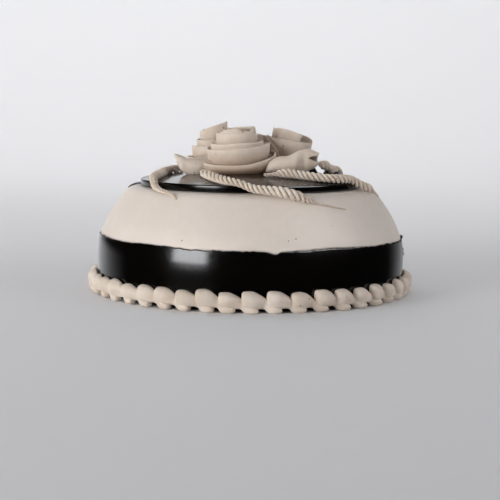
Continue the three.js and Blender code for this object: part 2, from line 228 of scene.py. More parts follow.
# %% Wandering lines
SINES = 9


def wander(angle, seed, slowest, fastest):
    """An uneven line round a full turn, about -1 to 1: a sum of sines, their whole speeds within limits."""
    draw = np.random.default_rng(seed)
    speeds = draw.integers(slowest, fastest + 1, SINES)
    starts = draw.uniform(0, 2 * math.pi, SINES)
    strengths = draw.uniform(0.4, 1, SINES) / np.sqrt(speeds)
    waves = [
        strength * np.sin(speed * np.asarray(angle) + start)
        for speed, start, strength in zip(speeds, starts, strengths)
    ]
    return np.sum(waves, axis=0) / np.sqrt((strengths**2).sum() / 2) / 2


print("wander, sample:", np.round(wander(np.linspace(0, 1, 3), 4, 3, 9), 3))

# %% [markdown]
# ## Node trees as expressions
# Both materials and Geometry Nodes are trees of nodes. Written out by hand they drown in links, so one
# small class wraps an output socket and adds a Math node wherever it meets an arithmetic sign. Another
# adds any other node from its type, its settings and what goes into its sockets.

# %% Wires
class Wire:
    """An output socket that can be used in an expression, on either side of a sign."""

    def __init__(self, nodes, socket):
        self.nodes, self.socket = nodes, socket

    def __add__(self, other):
        return self.nodes.math("ADD", self, other)

    def __radd__(self, other):
        return self.nodes.math("ADD", other, self)

    def __sub__(self, other):
        return self.nodes.math("SUBTRACT", self, other)

    def __rsub__(self, other):
        return self.nodes.math("SUBTRACT", other, self)

    def __mul__(self, other):
        return self.nodes.math("MULTIPLY", self, other)

    def __rmul__(self, other):
        return self.nodes.math("MULTIPLY", other, self)

    def __truediv__(self, other):
        return self.nodes.math("DIVIDE", self, other)

    def __rtruediv__(self, other):
        return self.nodes.math("DIVIDE", other, self)


print("a wire knows", sum(name.startswith("__r") for name in vars(Wire)), "signs with a number before it")

# %% Trees of nodes
class Nodes:
    """A node tree being built."""

    def __init__(self, tree):
        self.tree = tree

    def add(self, kind, settings=None, inputs=None, out=0):
        """Adds a node and gives one output. Settings go first: they can change which sockets there are."""
        node = self.tree.nodes.new(kind)
        for name, value in (settings or {}).items():
            setattr(node, name, value)
        for key, value in (inputs or {}).items():
            if isinstance(value, Wire):
                self.tree.links.new(value.socket, node.inputs[key])
            else:
                node.inputs[key].default_value = value
        return Wire(self, node.outputs[out]) if len(node.outputs) else None

    def math(self, operation, *values):
        return self.add("ShaderNodeMath", {"operation": operation}, dict(enumerate(values)))

    def vector(self, operation, *values, out=0):
        return self.add("ShaderNodeVectorMath", {"operation": operation}, dict(enumerate(values)), out)

    def scaled(self, vector, amount):
        return self.add("ShaderNodeVectorMath", {"operation": "SCALE"}, {0: vector, "Scale": amount})

    def colours(self, factor, a, b):
        """Colour a, mixed with b by a factor."""
        return self.add("ShaderNodeMix", {"data_type": "RGBA"}, {0: factor, 6: a, 7: b}, out=2)

    def between(self, value, low, high, to_low=0.0, to_high=1.0):
        """Value, smoothly run from one range into another, and held at its ends."""
        inputs = {"Value": value, 1: low, 2: high, 3: to_low, 4: to_high}
        return self.add("ShaderNodeMapRange", {"interpolation_type": "SMOOTHSTEP"}, inputs)

    def noise(self, vector, scale, detail=2.0, roughness=0.5):
        inputs = {"Vector": vector, "Scale": scale, "Detail": detail, "Roughness": roughness}
        return self.add("ShaderNodeTexNoise", {}, inputs, "Fac")


print("ways to add a node:", [name for name in vars(Nodes) if not name.startswith("_")])

# %% [markdown]
# ## Starting a finish
# Each material is a Principled shader with constants on some of its sockets and nodes on others. A helper
# makes the material and sets the constants, and a second one links what changes over the surface.

# %% New materials
def screen_colour(red, green, blue):
    """A colour given as it shows on a screen, 0 to 255, as the linear values that shaders use."""
    shares = np.array([red, green, blue]) / 255
    linear = np.where(shares <= 0.04045, shares / 12.92, ((shares + 0.055) / 1.055) ** 2.4)
    return (*linear.tolist(), 1.0)


def start_material(name, **sockets):
    """A new material: its nodes and its Principled shader, with constants on the shader's own sockets."""
    material = bpy.data.materials.new(name)
    material.use_nodes = True
    shader = material.node_tree.nodes["Principled BSDF"]
    for key, value in sockets.items():
        shader.inputs[key.replace("_", " ")].default_value = value
    return material, Nodes(material.node_tree), shader


def feed(nodes, shader, **wires):
    """Links what changes over the surface to the shader's sockets."""
    for key, wire in wires.items():
        nodes.tree.links.new(wire.socket, shader.inputs[key.replace("_", " ")])


print("middle grey on a screen is", round(screen_colour(128, 128, 128)[0], 3), "of the light")

# %% [markdown]
# ## Cream
# The coat and the piping are one coffee cream. The coat was smoothed with a scraper: satin, with the
# faintest level lines and some pinholes. The piping is drier and duller, holds more air, and its ribbons
# carry fine streaks from the nozzle. One function makes both, so they stay related: mottling moves the
# colour a little, pits come from Voronoi cells of which only a few are let through, and the streaks follow
# the lay of each ribbon. The shade in a pit's hollow is painted into the colour as a dark brown. Deep in a
# fold, light that bounces from cream to cream turns warm and brown, and that shade is painted too: the
# third value of the lay says how deep the fold is there, and the colour turns to a painted warm brown by it.

# %% Cream materials
CLOUDS, MOTTLE, FINE_GRAIN = 35, 190, 1300  # how fine three noises are, for each metre
# dark: how much painted shade colours the hollow of a pit
PITS = {"cells": 210.0, "full_within": 0.07, "gone_by": 0.14, "depth": 0.5, "dark": 0.75}
PIT_SHADE_COLOUR = screen_colour(70, 52, 42)
# painted shade: the warm brown of light bounced deep in a fold, and how strongly it is painted
FOLD_SHADE_COLOUR = screen_colour(148, 110, 78)
FOLD_SHADE_STRENGTH = 0.95
STREAKS = (0.05, 1.9, 0.0)  # how fine they are along a ribbon and across it; the fold plays no part
CREAM_RELIEF = 0.4 * MM


def cream(name, pale, deep, rough, streak, pit_share, grain):
    """Whipped cream between two colours, with painted shade in its folds and pits. rough is its middle
    roughness, streak how deep the nozzle's lines are, pit_share how many of the cells hold a pit, and grain
    how strong the finest relief is."""
    material, nodes, shader = start_material(
        name, Subsurface_Weight=0.1, Subsurface_Radius=(1.0, 0.6, 0.4), Subsurface_Scale=0.0006,
    )
    place = nodes.add("ShaderNodeTexCoord", out="Object")
    lay = nodes.add("ShaderNodeAttribute", {"attribute_name": "lay"}, out="Vector")
    clouds = nodes.noise(place, CLOUDS, detail=3)
    mottle = nodes.noise(place, MOTTLE, detail=4)
    tone = nodes.between(clouds * 0.6 + mottle * 0.4, 0.36, 0.64)
    colour = nodes.colours(tone, deep, pale)

    cell = {"Vector": place, "Scale": PITS["cells"]}
    gap = nodes.add("ShaderNodeTexVoronoi", {}, cell, "Distance")
    lot = nodes.add("ShaderNodeSeparateColor", {}, {0: nodes.add("ShaderNodeTexVoronoi", {}, cell, "Color")})
    chosen = nodes.between(lot, 1 - pit_share, 1.001 - pit_share)
    pit = nodes.between(gap, PITS["full_within"], PITS["gone_by"], 1.0, 0.0) * chosen
    # painted shade: the colour turns to the warm fold brown where the lay's third value says a fold is deep
    fold = nodes.vector("DOT_PRODUCT", lay, (0, 0, 1), out="Value")
    colour = nodes.colours(fold * FOLD_SHADE_STRENGTH, colour, FOLD_SHADE_COLOUR)
    # painted shade: the hollow of a chosen pit is coloured dark brown
    colour = nodes.colours(pit * PITS["dark"], colour, PIT_SHADE_COLOUR)

    ribbon = nodes.noise(nodes.vector("MULTIPLY", lay, STREAKS), 1.0, detail=4, roughness=0.6)
    fine = nodes.noise(place, FINE_GRAIN, detail=3, roughness=0.65)
    height = ribbon * streak + fine * grain - pit * PITS["depth"]
    bump = nodes.add("ShaderNodeBump", {}, {"Strength": 1.0, "Distance": CREAM_RELIEF, "Height": height})
    feed(nodes, shader, Base_Color=colour, Normal=bump)
    feed(nodes, shader, Roughness=nodes.between(mottle, 0.3, 0.7, rough - 0.05, rough + 0.05))
    print("made the finish", name)
    return material


COAT = cream(
    "cream_coat", screen_colour(228, 217, 207), screen_colour(223, 212, 201),
    rough=0.5, streak=0.1, pit_share=0.04, grain=0.12,
)
PIPED = cream(
    "piped_cream", screen_colour(230, 217, 203), screen_colour(219, 203, 186),
    rough=0.62, streak=0.8, pit_share=0.4, grain=0.4,
)

# %% [markdown]
# ## Glaze
# A mirror glaze is cocoa, sugar and gelatine: nearly black, with a smooth wet skin that sagged a little
# before it set. Nearly all that shows of it is reflection, so its colour stays dark, its roughness low,
# and a slow, weak bump makes the reflections soft and slightly wavy.

# %% Glaze material
COCOA = screen_colour(3, 2, 1), screen_colour(6, 4, 3)
WAVES, DUST = 28, 700  # how fine two noises are, for each metre
GLAZE_ROUGH = 0.12, 0.17
GLAZE_RELIEF = 0.3 * MM


def glaze():
    """Set mirror glaze: two near blacks, soft waves and a trace of dust."""
    material, nodes, shader = start_material("chocolate_glaze", IOR=1.5)
    place = nodes.add("ShaderNodeTexCoord", out="Object")
    slow = nodes.noise(place, WAVES, detail=1)
    dust = nodes.noise(place, DUST, detail=2)
    height = slow + dust * 0.02
    bump = nodes.add("ShaderNodeBump", {}, {"Strength": 1.0, "Distance": GLAZE_RELIEF, "Height": height})
    feed(nodes, shader, Base_Color=nodes.colours(slow, *COCOA), Normal=bump)
    feed(nodes, shader, Roughness=nodes.between(dust, 0.3, 0.7, *GLAZE_ROUGH))
    print("made the finish", material.name)
    return material


GLAZE = glaze()

# %% [markdown]
# ## The cake and its coat
# The cake is turned from a profile: an upright wall that leans in, ever faster, to a rounded shoulder and
# a low deck. A lathe would do, but behind the glaze band the coat has to step back, and the band's lip is
# uneven, so the profile is worked out again at each angle. The side follows a superellipse, a stretched
# circle whose power says how full it is, and the shoulder is a Bezier curve that carries on from it.

# %% Profile of the coat
# In millimetres. The coat stands a little outside the band's solid. Its wall is upright up to WALL_TOP, its
# shoulder starts at SHOULDER_Z, and the deck that carries the glaze lies at DECK_Z.
COAT_OUTSIDE = 0.6
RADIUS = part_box("glaze_band")[1].y / MM + COAT_OUTSIDE
WALL_TOP, SHOULDER_Z, DECK_Z = 28.7, 68, 71.9
DECK_RADIUS = 77
APEX, POWER = 150, 1.32  # the superellipse of the side: where it would close, and how full it is
FULLNESS = 1.7  # how much further out the side stands half way up
GAP = 0.3  # between a solid of the frame and the one it lies on
GLAZE_RISE, GLAZE_THICK = 6.5, 4.6


def coat_radius(z):
    """Radius of the smoothed coat at a height on its side, a touch fuller half way up."""
    share = np.clip((np.asarray(z, float) - WALL_TOP) / (APEX - WALL_TOP), 0, 1)
    full = np.clip((np.asarray(z, float) - WALL_TOP) / (SHOULDER_Z - WALL_TOP), 0, 1)
    return RADIUS * (1 - share**POWER) ** (1 / POWER) + FULLNESS * np.sin(math.pi * full)


def shoulder(share):
    """Radius and height along the rounded shoulder, from the side (share 0) to the deck (share 1): a curve
    that leaves the side along its lean and comes level at the deck."""
    start, rise = float(coat_radius(SHOULDER_Z)), DECK_Z - SHOULDER_Z
    lean = start - float(coat_radius(SHOULDER_Z - 1))
    radii = (start, start + 0.7 * rise * lean, (start + rise * lean + DECK_RADIUS) / 2, DECK_RADIUS)
    heights = (SHOULDER_Z, SHOULDER_Z + 0.7 * rise, DECK_Z, DECK_Z)
    share = np.asarray(share, float)
    weights = [(1 - share) ** 3, 3 * share * (1 - share) ** 2, 3 * share**2 * (1 - share), share**3]
    return (sum(weight * value for weight, value in zip(weights, values)) for values in (radii, heights))


def crown(radius):
    """How far the top bulges up at a radius."""
    return GLAZE_RISE * (1 - (np.asarray(radius, float) / DECK_RADIUS) ** 2)


print("coat:", round(RADIUS, 1), "mm in radius at its foot and", DECK_RADIUS, "at its deck")

# %% [markdown]
# ## The line of the glaze band
# The band was brushed or poured round the wall up to a line, so its lip is what the eye reads: it is
# higher in front and on the left, wavy, finely ragged, and has one notch. The coat steps back behind it,
# so the band's form is settled before the coat is drawn. Its face stands upright, leans a little from half
# way up, and at last rolls in with the coat, which a soft minimum of the two radii gives without a corner.

# %% Form of the glaze band
BAND = {
    "radius": 107.9, "bottom": 0.8, "top": 37.6, "front_rise": 0.9, "left_rise": 1.7, "wave": 0.5,
    "proud": 1.5, "thick": 1.6, "roll": 1.0, "lip": 0.75, "tilts_from": 21, "tilts_by": 27, "tilt": 4.8,
}
NOTCH = {"at": math.radians(278.5), "wide": math.radians(1.6), "deep": 1.3}


def band_top(angle):
    """The height of the glaze band's lip round the cake."""
    angle = np.asarray(angle, float)
    front = np.maximum(0, -np.sin(angle))
    slow = BAND["wave"] * (np.sin(5 * angle) + 0.6 * np.sin(11 * angle + math.radians(40)))
    ragged = 0.26 * wander(angle, 7, 23, 70) + 0.15 * wander(angle, 8, 90, 190)
    left = BAND["left_rise"] * np.maximum(0, -np.cos(angle - math.radians(12))) ** 6
    from_notch = (np.mod(angle, 2 * math.pi) - NOTCH["at"]) / NOTCH["wide"]
    notch = NOTCH["deep"] * np.exp(-(from_notch**2))
    return BAND["top"] + BAND["front_rise"] * front + left + slow + ragged - notch


def band_outside(z):
    """Radius of the glaze band at a height."""
    z = np.asarray(z, float)
    start, end = BAND["tilts_from"], BAND["tilts_by"]
    eases = np.clip(z - start, 0, end - start) ** 2 / (2 * (end - start)) + np.maximum(z - end, 0)
    upright = BAND["radius"] - math.tan(math.radians(BAND["tilt"])) * eases
    leaning = coat_radius(z) + BAND["proud"]
    return -BAND["roll"] * np.log(np.exp(-upright / BAND["roll"]) + np.exp(-leaning / BAND["roll"]))


print("the band's lip in front is at", round(float(band_top(1.5 * math.pi)), 1), "mm")

# %% [markdown]
# ## The coat
# The cream was smoothed with a scraper held against the turning cake, so its rings are true and only low,
# slow waves are left in it. They fade out at the band and at the deck. The rings lie closest together just
# where the coat steps back behind the band's lip, because that step follows a wavy line.

# %% Coat
COAT_AROUND = 720
COAT_WAVE = 0.18
STEP_BACK = BAND["thick"] + 0.4


def coat():
    """The skin of the whole cake, from its base to the middle of its deck."""
    angles = np.linspace(0, 2 * math.pi, COAT_AROUND, endpoint=False)
    lip = band_top(angles)
    below, at_lip, above = np.linspace(0, 34, 12), np.linspace(34.6, 41, 17), np.linspace(42, SHOULDER_Z, 40)
    rings = []
    for z in (*below, *at_lip, *above):
        behind = smoothstep(0.9, -0.9, z - lip + 0.2) * STEP_BACK
        wave = COAT_WAVE * wander(angles, 21, 2, 6) * smoothstep(38, 50, z) * smoothstep(72, 60, z)
        rings.append(polar(coat_radius(z) - behind + wave, angles, z))
    rings += [polar(radius, angles, z) for radius, z in zip(*shoulder(np.linspace(0, 1, 16)[1:]))]
    rings += [polar(radius, angles, DECK_Z + crown(radius)) for radius in (60, 40, 20)]
    points, faces, lay = loft(rings)
    points[-2], points[-1] = (0, 0, 0), (0, 0, DECK_Z + GLAZE_RISE)
    lay[:, 1] = points[:, 2]
    return points, faces, lay


make("coat", [coat()], "cake_dome", COAT)

# %% [markdown]
# ## The glaze band
# The band stands proud of the cream, and its rounded lip catches a thin line of light. Its section is
# drawn up the outside, over the lip and down the inside, and moved to the lip's height at each step round
# the cake. The row of sections joins up with itself. Three drips that set on its right side are small
# turned blobs, set into its face.

# %% Band
BAND_AROUND = 900
# The drips: angle round the cake in degrees, height on the band, how high each is and how proud it stands.
DRIPS = [(357, 37.5, 3, 1.3), (358, 28.5, 3.4, 1.2), (358.5, 25.5, 4, 1.5)]


def band():
    """The skin of the band: its face, its lip and its inside."""
    angles = np.linspace(0, 2 * math.pi, BAND_AROUND, endpoint=False)
    top = band_top(angles)
    lip = BAND["lip"]
    rings = []
    for share in np.linspace(0, 1, 26):
        z = BAND["bottom"] + (top - lip - BAND["bottom"]) * share**0.8
        rings.append(polar(band_outside(z), angles, z))
    for turn in np.linspace(0, math.pi / 2, 7)[1:]:
        z = top - lip + lip * math.sin(turn)
        rings.append(polar(band_outside(top - lip) - lip * (1 - math.cos(turn)), angles, z))
    rings.append(polar(band_outside(top) - BAND["thick"], angles, top - 0.2))
    rings += [polar(BAND["radius"] - BAND["thick"], angles, z) for z in (WALL_TOP / 2, BAND["bottom"])]
    return loft(np.swapaxes(np.array(rings), 0, 1), joined=True)


def drip(angle, z, high, proud):
    """A small blob of glaze that set on the band."""
    over = np.linspace(0, math.pi, 9)
    points, faces, lay = turned([(proud * math.sin(turn), -high / 2 * math.cos(turn)) for turn in over], 14)
    return points + polar(band_outside(z) - 0.2 * proud, math.radians(angle), z), faces, lay


make("band", [band(), *(drip(*form) for form in DRIPS)], "glaze_band", GLAZE)

# %% [markdown]
# ## The glazed top
# On the deck lies a round of glaze with a low crown and a rounded rim. It is turned from a profile, like a
# lid, and then pushed in and out a little near its rim, because poured glaze never stops on an exact
# circle.

# %% The round of glaze
LOWER_EDGE, UPPER_EDGE = 1.0, 1.1  # radii of the rounded edges of its rim
RIM_WANDER = 0.35


def deck_top(radius):
    """The height of the glaze's surface at a radius."""
    return DECK_Z + GAP + GLAZE_THICK + crown(radius)


def rounded(radius, height, edge, turns):
    """Points of a profile round an edge, at angles in degrees about its own centre."""
    return [(radius + edge * math.cos(turn), height + edge * math.sin(turn)) for turn in np.radians(turns)]


def glazed_top():
    """The skin of the round, from the middle of its underside to the middle of its top."""
    bottom, inside = DECK_Z + GAP, DECK_RADIUS - UPPER_EDGE
    below, above = bottom + LOWER_EDGE, float(deck_top(inside)) - UPPER_EDGE
    profile = [(0, bottom + GLAZE_RISE)]
    profile += [(radius, bottom + crown(radius)) for radius in (20, 40, 60, 70)]
    profile += rounded(DECK_RADIUS - LOWER_EDGE, below, LOWER_EDGE, np.linspace(-90, 0, 6))
    profile += rounded(inside, above, UPPER_EDGE, np.linspace(0, 90, 10))
    profile += [(radius, float(deck_top(radius))) for radius in np.linspace(inside - 2, 4, 26)]
    profile.append((0, float(deck_top(0))))
    points, faces, lay = turned(profile, 256)
    radius = np.hypot(points[:, 0], points[:, 1])
    angle = np.arctan2(points[:, 1], points[:, 0])
    push = RIM_WANDER * wander(angle, 31, 2, 9) * smoothstep(60, DECK_RADIUS, radius)
    points[:, :2] *= (1 + push / np.maximum(radius, 1))[:, None]
    return points, faces, lay


print("the glaze is at", round(float(deck_top(0)), 1), "mm in the middle")

# %% [markdown]
# ## The tongue and the shade mounds
# On the left a tongue of glaze ran a little way over the shoulder. It is a strip laid on the shoulder's
# own curve, thick where it leaves the round and thin where it ends. On the right, beside the rope at the
# back, two low dark mounds of glaze stand for the deep shade under the pouch leaf and the back rope:
# painted shade made as glaze. They join the round as skins of one piece.

# %% Tongue and shade mounds
TONGUE = {
    "angle": 168, "width": 24, "thick": 1.3, "end": 0.5, "inside": 5, "above": 1.5, "sunk": 0.5,
    "drops": (1, 2, 3.2, 4.4),
}
# Along each shade mound, in millimetres: its place on X and Y, its half width and its height.
SHADE_MOUNDS = [
    [
        (35, 1, 0.5, 0.3), (38, 3, 3, 4.4), (41, 5, 3.4, 5.4), (44, 7, 2.6, 5), (46.5, 9, 1.4, 1.4),
        (48, 10.5, 1, 0.3),
    ],
    [(51.5, 16, 0.6, 0.3), (54, 16.6, 1.8, 4.4), (58, 17, 2, 4), (63, 17, 2, 3.4), (67.5, 16.6, 0.8, 0.3)],
]
SHADE_MOUND_DEPTH = 0.8  # how far a shade mound reaches into the glaze that carries it


def tongue():
    """The skin of the tongue, from under the round to its end on the side of the coat."""
    lift = GAP + 0.1
    run = [(DECK_RADIUS - TONGUE["inside"], DECK_Z + TONGUE["above"])]
    run += [(radius + lift, z + lift) for radius, z in zip(*shoulder(np.linspace(1, 0, 14)))]
    run += [(float(coat_radius(SHOULDER_Z - drop)) + lift, SHOULDER_Z - drop) for drop in TONGUE["drops"]]
    rings = []
    for i, (radius, z) in enumerate(run):
        share = i / (len(run) - 1)
        thick = TONGUE["thick"] + (TONGUE["end"] - TONGUE["thick"]) * share
        half = TONGUE["width"] / 2 * math.sqrt(1.04 - share**2)
        across = np.linspace(-1, 1, 15)
        angles = math.radians(TONGUE["angle"]) + across * half / radius
        dome = np.sqrt(np.maximum(0, 1 - across**2))
        over = polar(radius + thick * share * dome, angles, z + thick * dome)
        under = polar(radius - TONGUE["sunk"], angles[1:-1][::-1], z - TONGUE["sunk"])
        rings.append(np.vstack([over, under]))
    return loft(rings)


def shade_mound(form):
    """A low dark mound of glaze, painted shade that follows the crown of the round."""
    over = np.linspace(0, math.pi, 15)
    rings = []
    for x, y, half, high in smooth_rows(form, 30):
        across = np.concatenate([np.cos(over), np.cos(over)[1:-1][::-1]]) * max(half, 0.3)
        ground = deck_top(np.hypot(x, y + across))
        rise = np.concatenate([np.sin(over) * high, np.full(len(over) - 2, -SHADE_MOUND_DEPTH)])
        rings.append(np.stack([np.full_like(across, x), y + across, ground + rise], axis=-1))
    return loft(rings)


make("glazed_top", [glazed_top(), tongue(), *map(shade_mound, SHADE_MOUNDS)], "glaze_top", GLAZE)

# %% [markdown]
# ## The shell border
# A shell is piped by letting a round head swell at the nozzle, then pulling away and down so that it thins
# into a tail. The next head lands on that tail. One shell is modelled as a skin along its own bent line,
# flat against the band and resting on the floor, and is then set round the foot of the cake.

# %% One shell
SHELL = {"start": 0.078, "columns": 30, "rows": 38}  # start is how far round its line begins, in radians
# Along the shell, in millimetres: how far on, how high its middle is, its half height, and its outer radius.
# The head comes first, then the neck, and the tail that shows under the head of the next shell.
SHELL_FORM = [
    (-5.7, 8.8, 0.3, 108.4), (-5.4, 8.8, 3.3, 111.2), (-4.4, 8.6, 4.7, 113.1), (-2.4, 8.2, 5.4, 113.9),
    (0.6, 8.0, 5.6, 114.0), (3.4, 7.7, 5.1, 113.2), (6.4, 7.0, 4.1, 111.7), (8.8, 5.9, 3.5, 110.7),
    (10.6, 4.4, 4.0, 111.2), (12.6, 3.2, 3.6, 112.4), (14.8, 2.6, 3.2, 113.1), (17.0, 2.2, 2.7, 113.0),
    (18.8, 1.8, 1.9, 112.2), (19.5, 1.6, 0.3, 109.5),
]


def shell_skin():
    """The skin of one shell, with the lay of its cream along it."""
    wall = BAND["radius"] + GAP
    spin = np.linspace(0, 2 * math.pi, SHELL["columns"], endpoint=False)
    rings, lay = [], []
    for forward, up, half, reach in smooth_rows(SHELL_FORM, SHELL["rows"]):
        radius = wall + (reach - wall) * np.maximum(np.cos(spin), 0) ** 0.9
        height = np.maximum(up + half * np.sin(spin), 0)
        rings.append(polar(radius, forward / wall + SHELL["start"], height))
        lay.append(np.stack([np.full_like(spin, forward), spin * half, np.zeros_like(spin)], axis=-1))
    return loft(rings, lay=np.array(lay))


shell_mesh = mesh_of("shell", [shell_skin()])
print("one shell:", len(shell_mesh.polygons), "faces")

# %% [markdown]
# ## Growing pieces with Geometry Nodes
# What repeats, or follows a path, is left to Geometry Nodes: a tree states the rule once, and its inputs
# are the sizes. The result has to be a plain mesh, because instances do not survive an export. So a tree
# ends by making its copies real and giving them their material, the evaluated mesh is kept, and the
# modifier goes.

# %% Geometry Nodes
WHOLE, NUMBER = "NodeSocketInt", "NodeSocketFloat"


def new_tree(name, numbers):
    """Starts a Geometry Nodes tree with named inputs: the tree, its nodes and a wire from each input."""
    tree = bpy.data.node_groups.new(name, "GeometryNodeTree")
    tree.interface.new_socket("Geometry", in_out="INPUT", socket_type="NodeSocketGeometry")
    tree.interface.new_socket("Geometry", in_out="OUTPUT", socket_type="NodeSocketGeometry")
    for key, kind in numbers.items():
        tree.interface.new_socket(key, in_out="INPUT", socket_type=kind)
    nodes = Nodes(tree)
    start = tree.nodes.new("NodeGroupInput")
    wires = {socket.name: Wire(nodes, socket) for socket in start.outputs if socket.name}
    return tree, nodes, wires


def finish_tree(nodes, geometry, material):
    """Ends a tree: copies made real, smooth shading, and the material."""
    real = nodes.add("GeometryNodeRealizeInstances", {}, {"Geometry": geometry})
    smooth = nodes.add("GeometryNodeSetShadeSmooth", {}, {"Geometry": real, "Shade Smooth": True})
    painted = nodes.add("GeometryNodeSetMaterial", {}, {"Geometry": smooth, "Material": material})
    nodes.add("NodeGroupOutput", {}, {0: painted})


def grow(name, start, tree, **numbers):
    """Runs a tree on a starting mesh, and gives its result as an object with a plain mesh."""
    thing = bpy.data.objects.new(name, start)
    scene.collection.objects.link(thing)
    modifier = thing.modifiers.new(tree.name, "NODES")
    modifier.node_group = tree
    for socket in tree.interface.items_tree:
        if socket.in_out == "INPUT" and socket.name in numbers:
            modifier[socket.identifier] = numbers[socket.name]
    thing.update_tag()
    graph = bpy.context.evaluated_depsgraph_get()
    grown = thing.evaluated_get(graph)
    mesh = bpy.data.meshes.new_from_object(grown, preserve_all_data_layers=True, depsgraph=graph)
    thing.modifiers.remove(modifier)
    thing.data = mesh
    mesh.name = name
    return thing


print("a tree takes whole numbers as", WHOLE, "and others as", NUMBER)

# %% [markdown]
# ## The ring of shells
# A baker sets the shells by eye. The tree makes as many points as there are shells, turns each copy on by
# one step and a small random amount, lets them crowd a little four times round the cake, and makes some
# taller and some lower. Then the copies are made real and a noise moves their surface, so that no two are
# alike. At last what sank below the floor is lifted back to it.

# %% The ring of shells
JITTER = 0.006  # how far a shell may be off its step, in radians
HEIGHTS = 2.4  # radians of a sine from one shell's height to the next one's
SWELL, RIPPLE = 95, 420  # how fine two noises are, for each metre
RIPPLE_SHARE = 0.22


def ring_tree():
    """A tree that sets one shell round the cake."""
    tree, nodes, wires = new_tree("ring_of_shells", {
        "Count": WHOLE, "Uneven": NUMBER, "Relief": NUMBER, "Crowding": NUMBER, "Seed": WHOLE,
    })
    index = nodes.add("GeometryNodeInputIndex")
    points = nodes.add("GeometryNodePoints", {}, {"Count": wires["Count"]})
    limits = {2: -JITTER, 3: JITTER, "ID": index, "Seed": wires["Seed"]}
    jitter = nodes.add("FunctionNodeRandomValue", {"data_type": "FLOAT"}, limits, out=1)
    turn = index * (2 * math.pi) / wires["Count"] + jitter
    crowding = 1 - nodes.math("COSINE", (turn + SHELL["start"]) * 4)
    turn = turn + wires["Crowding"] * crowding
    size = 1 + wires["Uneven"] * nodes.math("SINE", index * HEIGHTS)
    copies = nodes.add("GeometryNodeInstanceOnPoints", {}, {
        "Points": points, "Instance": wires["Geometry"],
        "Rotation": nodes.add("ShaderNodeCombineXYZ", {}, {"Z": turn}),
        "Scale": nodes.add("ShaderNodeCombineXYZ", {}, {"X": 1.0, "Y": 1.0, "Z": size}),
    })
    real = nodes.add("GeometryNodeRealizeInstances", {}, {"Geometry": copies})
    place = nodes.add("GeometryNodeInputPosition")
    swell = nodes.noise(place, SWELL, detail=1) - 0.5
    ripple = nodes.noise(place, RIPPLE, detail=2) - 0.5
    normal = nodes.add("GeometryNodeInputNormal")
    rise = (swell + ripple * RIPPLE_SHARE) * wires["Relief"]
    offset = nodes.scaled(normal, rise)
    moved = nodes.add("GeometryNodeSetPosition", {}, {"Geometry": real, "Offset": offset})
    level = nodes.vector("MAXIMUM", nodes.add("GeometryNodeInputPosition"), (-1.0, -1.0, 0.0))
    flat = nodes.add("GeometryNodeSetPosition", {}, {"Geometry": moved, "Position": level})
    finish_tree(nodes, flat, PIPED)
    return tree


border = grow(
    "shells", shell_mesh, ring_tree(), Count=46, Uneven=0.05, Relief=1.6 * MM, Crowding=0.0095, Seed=5,
)
hand_over(border, "shell_border", PIPED)

# %% [markdown]
# ## Roses
# A piped rose is wound from ribbons of cream. A flat nozzle lays each petal on edge round the heart: thick
# at its foot, thin at its lip, and leaning out more the further out it is. A petal here is a strip of such
# sections set round the rose's axis, with its radius and height read from short lists. The lists follow
# those of the solids closely, and this finer skin adds the thin wandering lip, the hollow behind it and
# the torn ends.

# %% Petals
READ_STEPS = 241  # steps in which a short list is read
PETAL_STEP, PETAL_END = 3, 6  # degrees: between two sections, and over which an end thins out
OPEN_FOLD_SHADE = 0.125  # how much of the painted fold shade thin cream in the open gets: leaves all over, and lips


def read(values, t):
    """The values of a short list at shares t along it, on a smooth curve."""
    fine = smooth_rows([[value] for value in values], READ_STEPS)[:, 0]
    return np.interp(t, np.linspace(0, 1, READ_STEPS), fine)


def petal(start, end, foot, lip, base, top, seed, *, thin=0.55, thick=2.6, belly=0.8, wave=0.35, torn=0.5,
          aside=0, shade=1.3):
    """A ribbon on edge, from one angle in degrees to another. foot and lip are radii and base and top are
    heights, each read along the ribbon. thin and thick are its walls at the lip and at the foot, belly is
    how far it swells out between them, wave how far its lip wanders, torn how much lower its ends are,
    aside how far its middle lies to the right of the rose's, and shade how fast the painted shade of its
    fold fades from the foot towards the lip."""
    sweep = end - start
    steps = max(10, int(sweep / PETAL_STEP))
    t = np.linspace(0, 1, steps + 1)
    angle = np.radians(start + sweep * t)
    foot_r, lip_r, low, high = (read(values, t) for values in (foot, lip, base, top))
    fade = PETAL_END / sweep
    ends = np.minimum(smoothstep(-0.01, fade, t), smoothstep(1.01, 1 - fade, t))
    high = high + wave * wander(angle / 2, seed, 3, 14) - torn * (1 - ends)
    lip_r = lip_r + 0.5 * wave * wander(angle / 2, seed + 50, 2, 11)
    up = np.linspace(0, 1, 13)
    rings, lay = [], []
    for i in range(steps + 1):
        wall = (thick + (thin - thick) * up**0.7) * (0.35 + 0.65 * ends[i])
        outer = foot_r[i] + (lip_r[i] - foot_r[i]) * up**1.15 + belly * np.sin(math.pi * up) ** 0.9
        height = low[i] + (high[i] - low[i]) * up
        over_r, over_z = outer[-1] - wall[-1] / 2, height[-1] + 0.45 * wall[-1]
        section_r = np.concatenate([outer, [over_r], (outer - wall)[::-1]])
        section_z = np.concatenate([height, [over_z], height[::-1]])
        rings.append(polar(section_r, angle[i], section_z) + (aside, 0, 0))
        run = math.radians(sweep) * t[i] * lip_r.mean()
        across = np.concatenate([up, [1.05], up[::-1] + 3]) * (high[i] - low[i])
        # painted shade: darkest at the foot on both faces of the ribbon, fading to none towards the lip
        fold = 0.9 * np.concatenate([1 - up, [0], 1 - up[::-1] ** 2]) ** shade
        fold[len(up)] = 2 * OPEN_FOLD_SHADE  # on the ridge of the lip, so that the lip has half of it on average
        lay.append(np.stack([np.full_like(across, run), across, fold], axis=-1))
    return loft(rings, lay=np.array(lay))


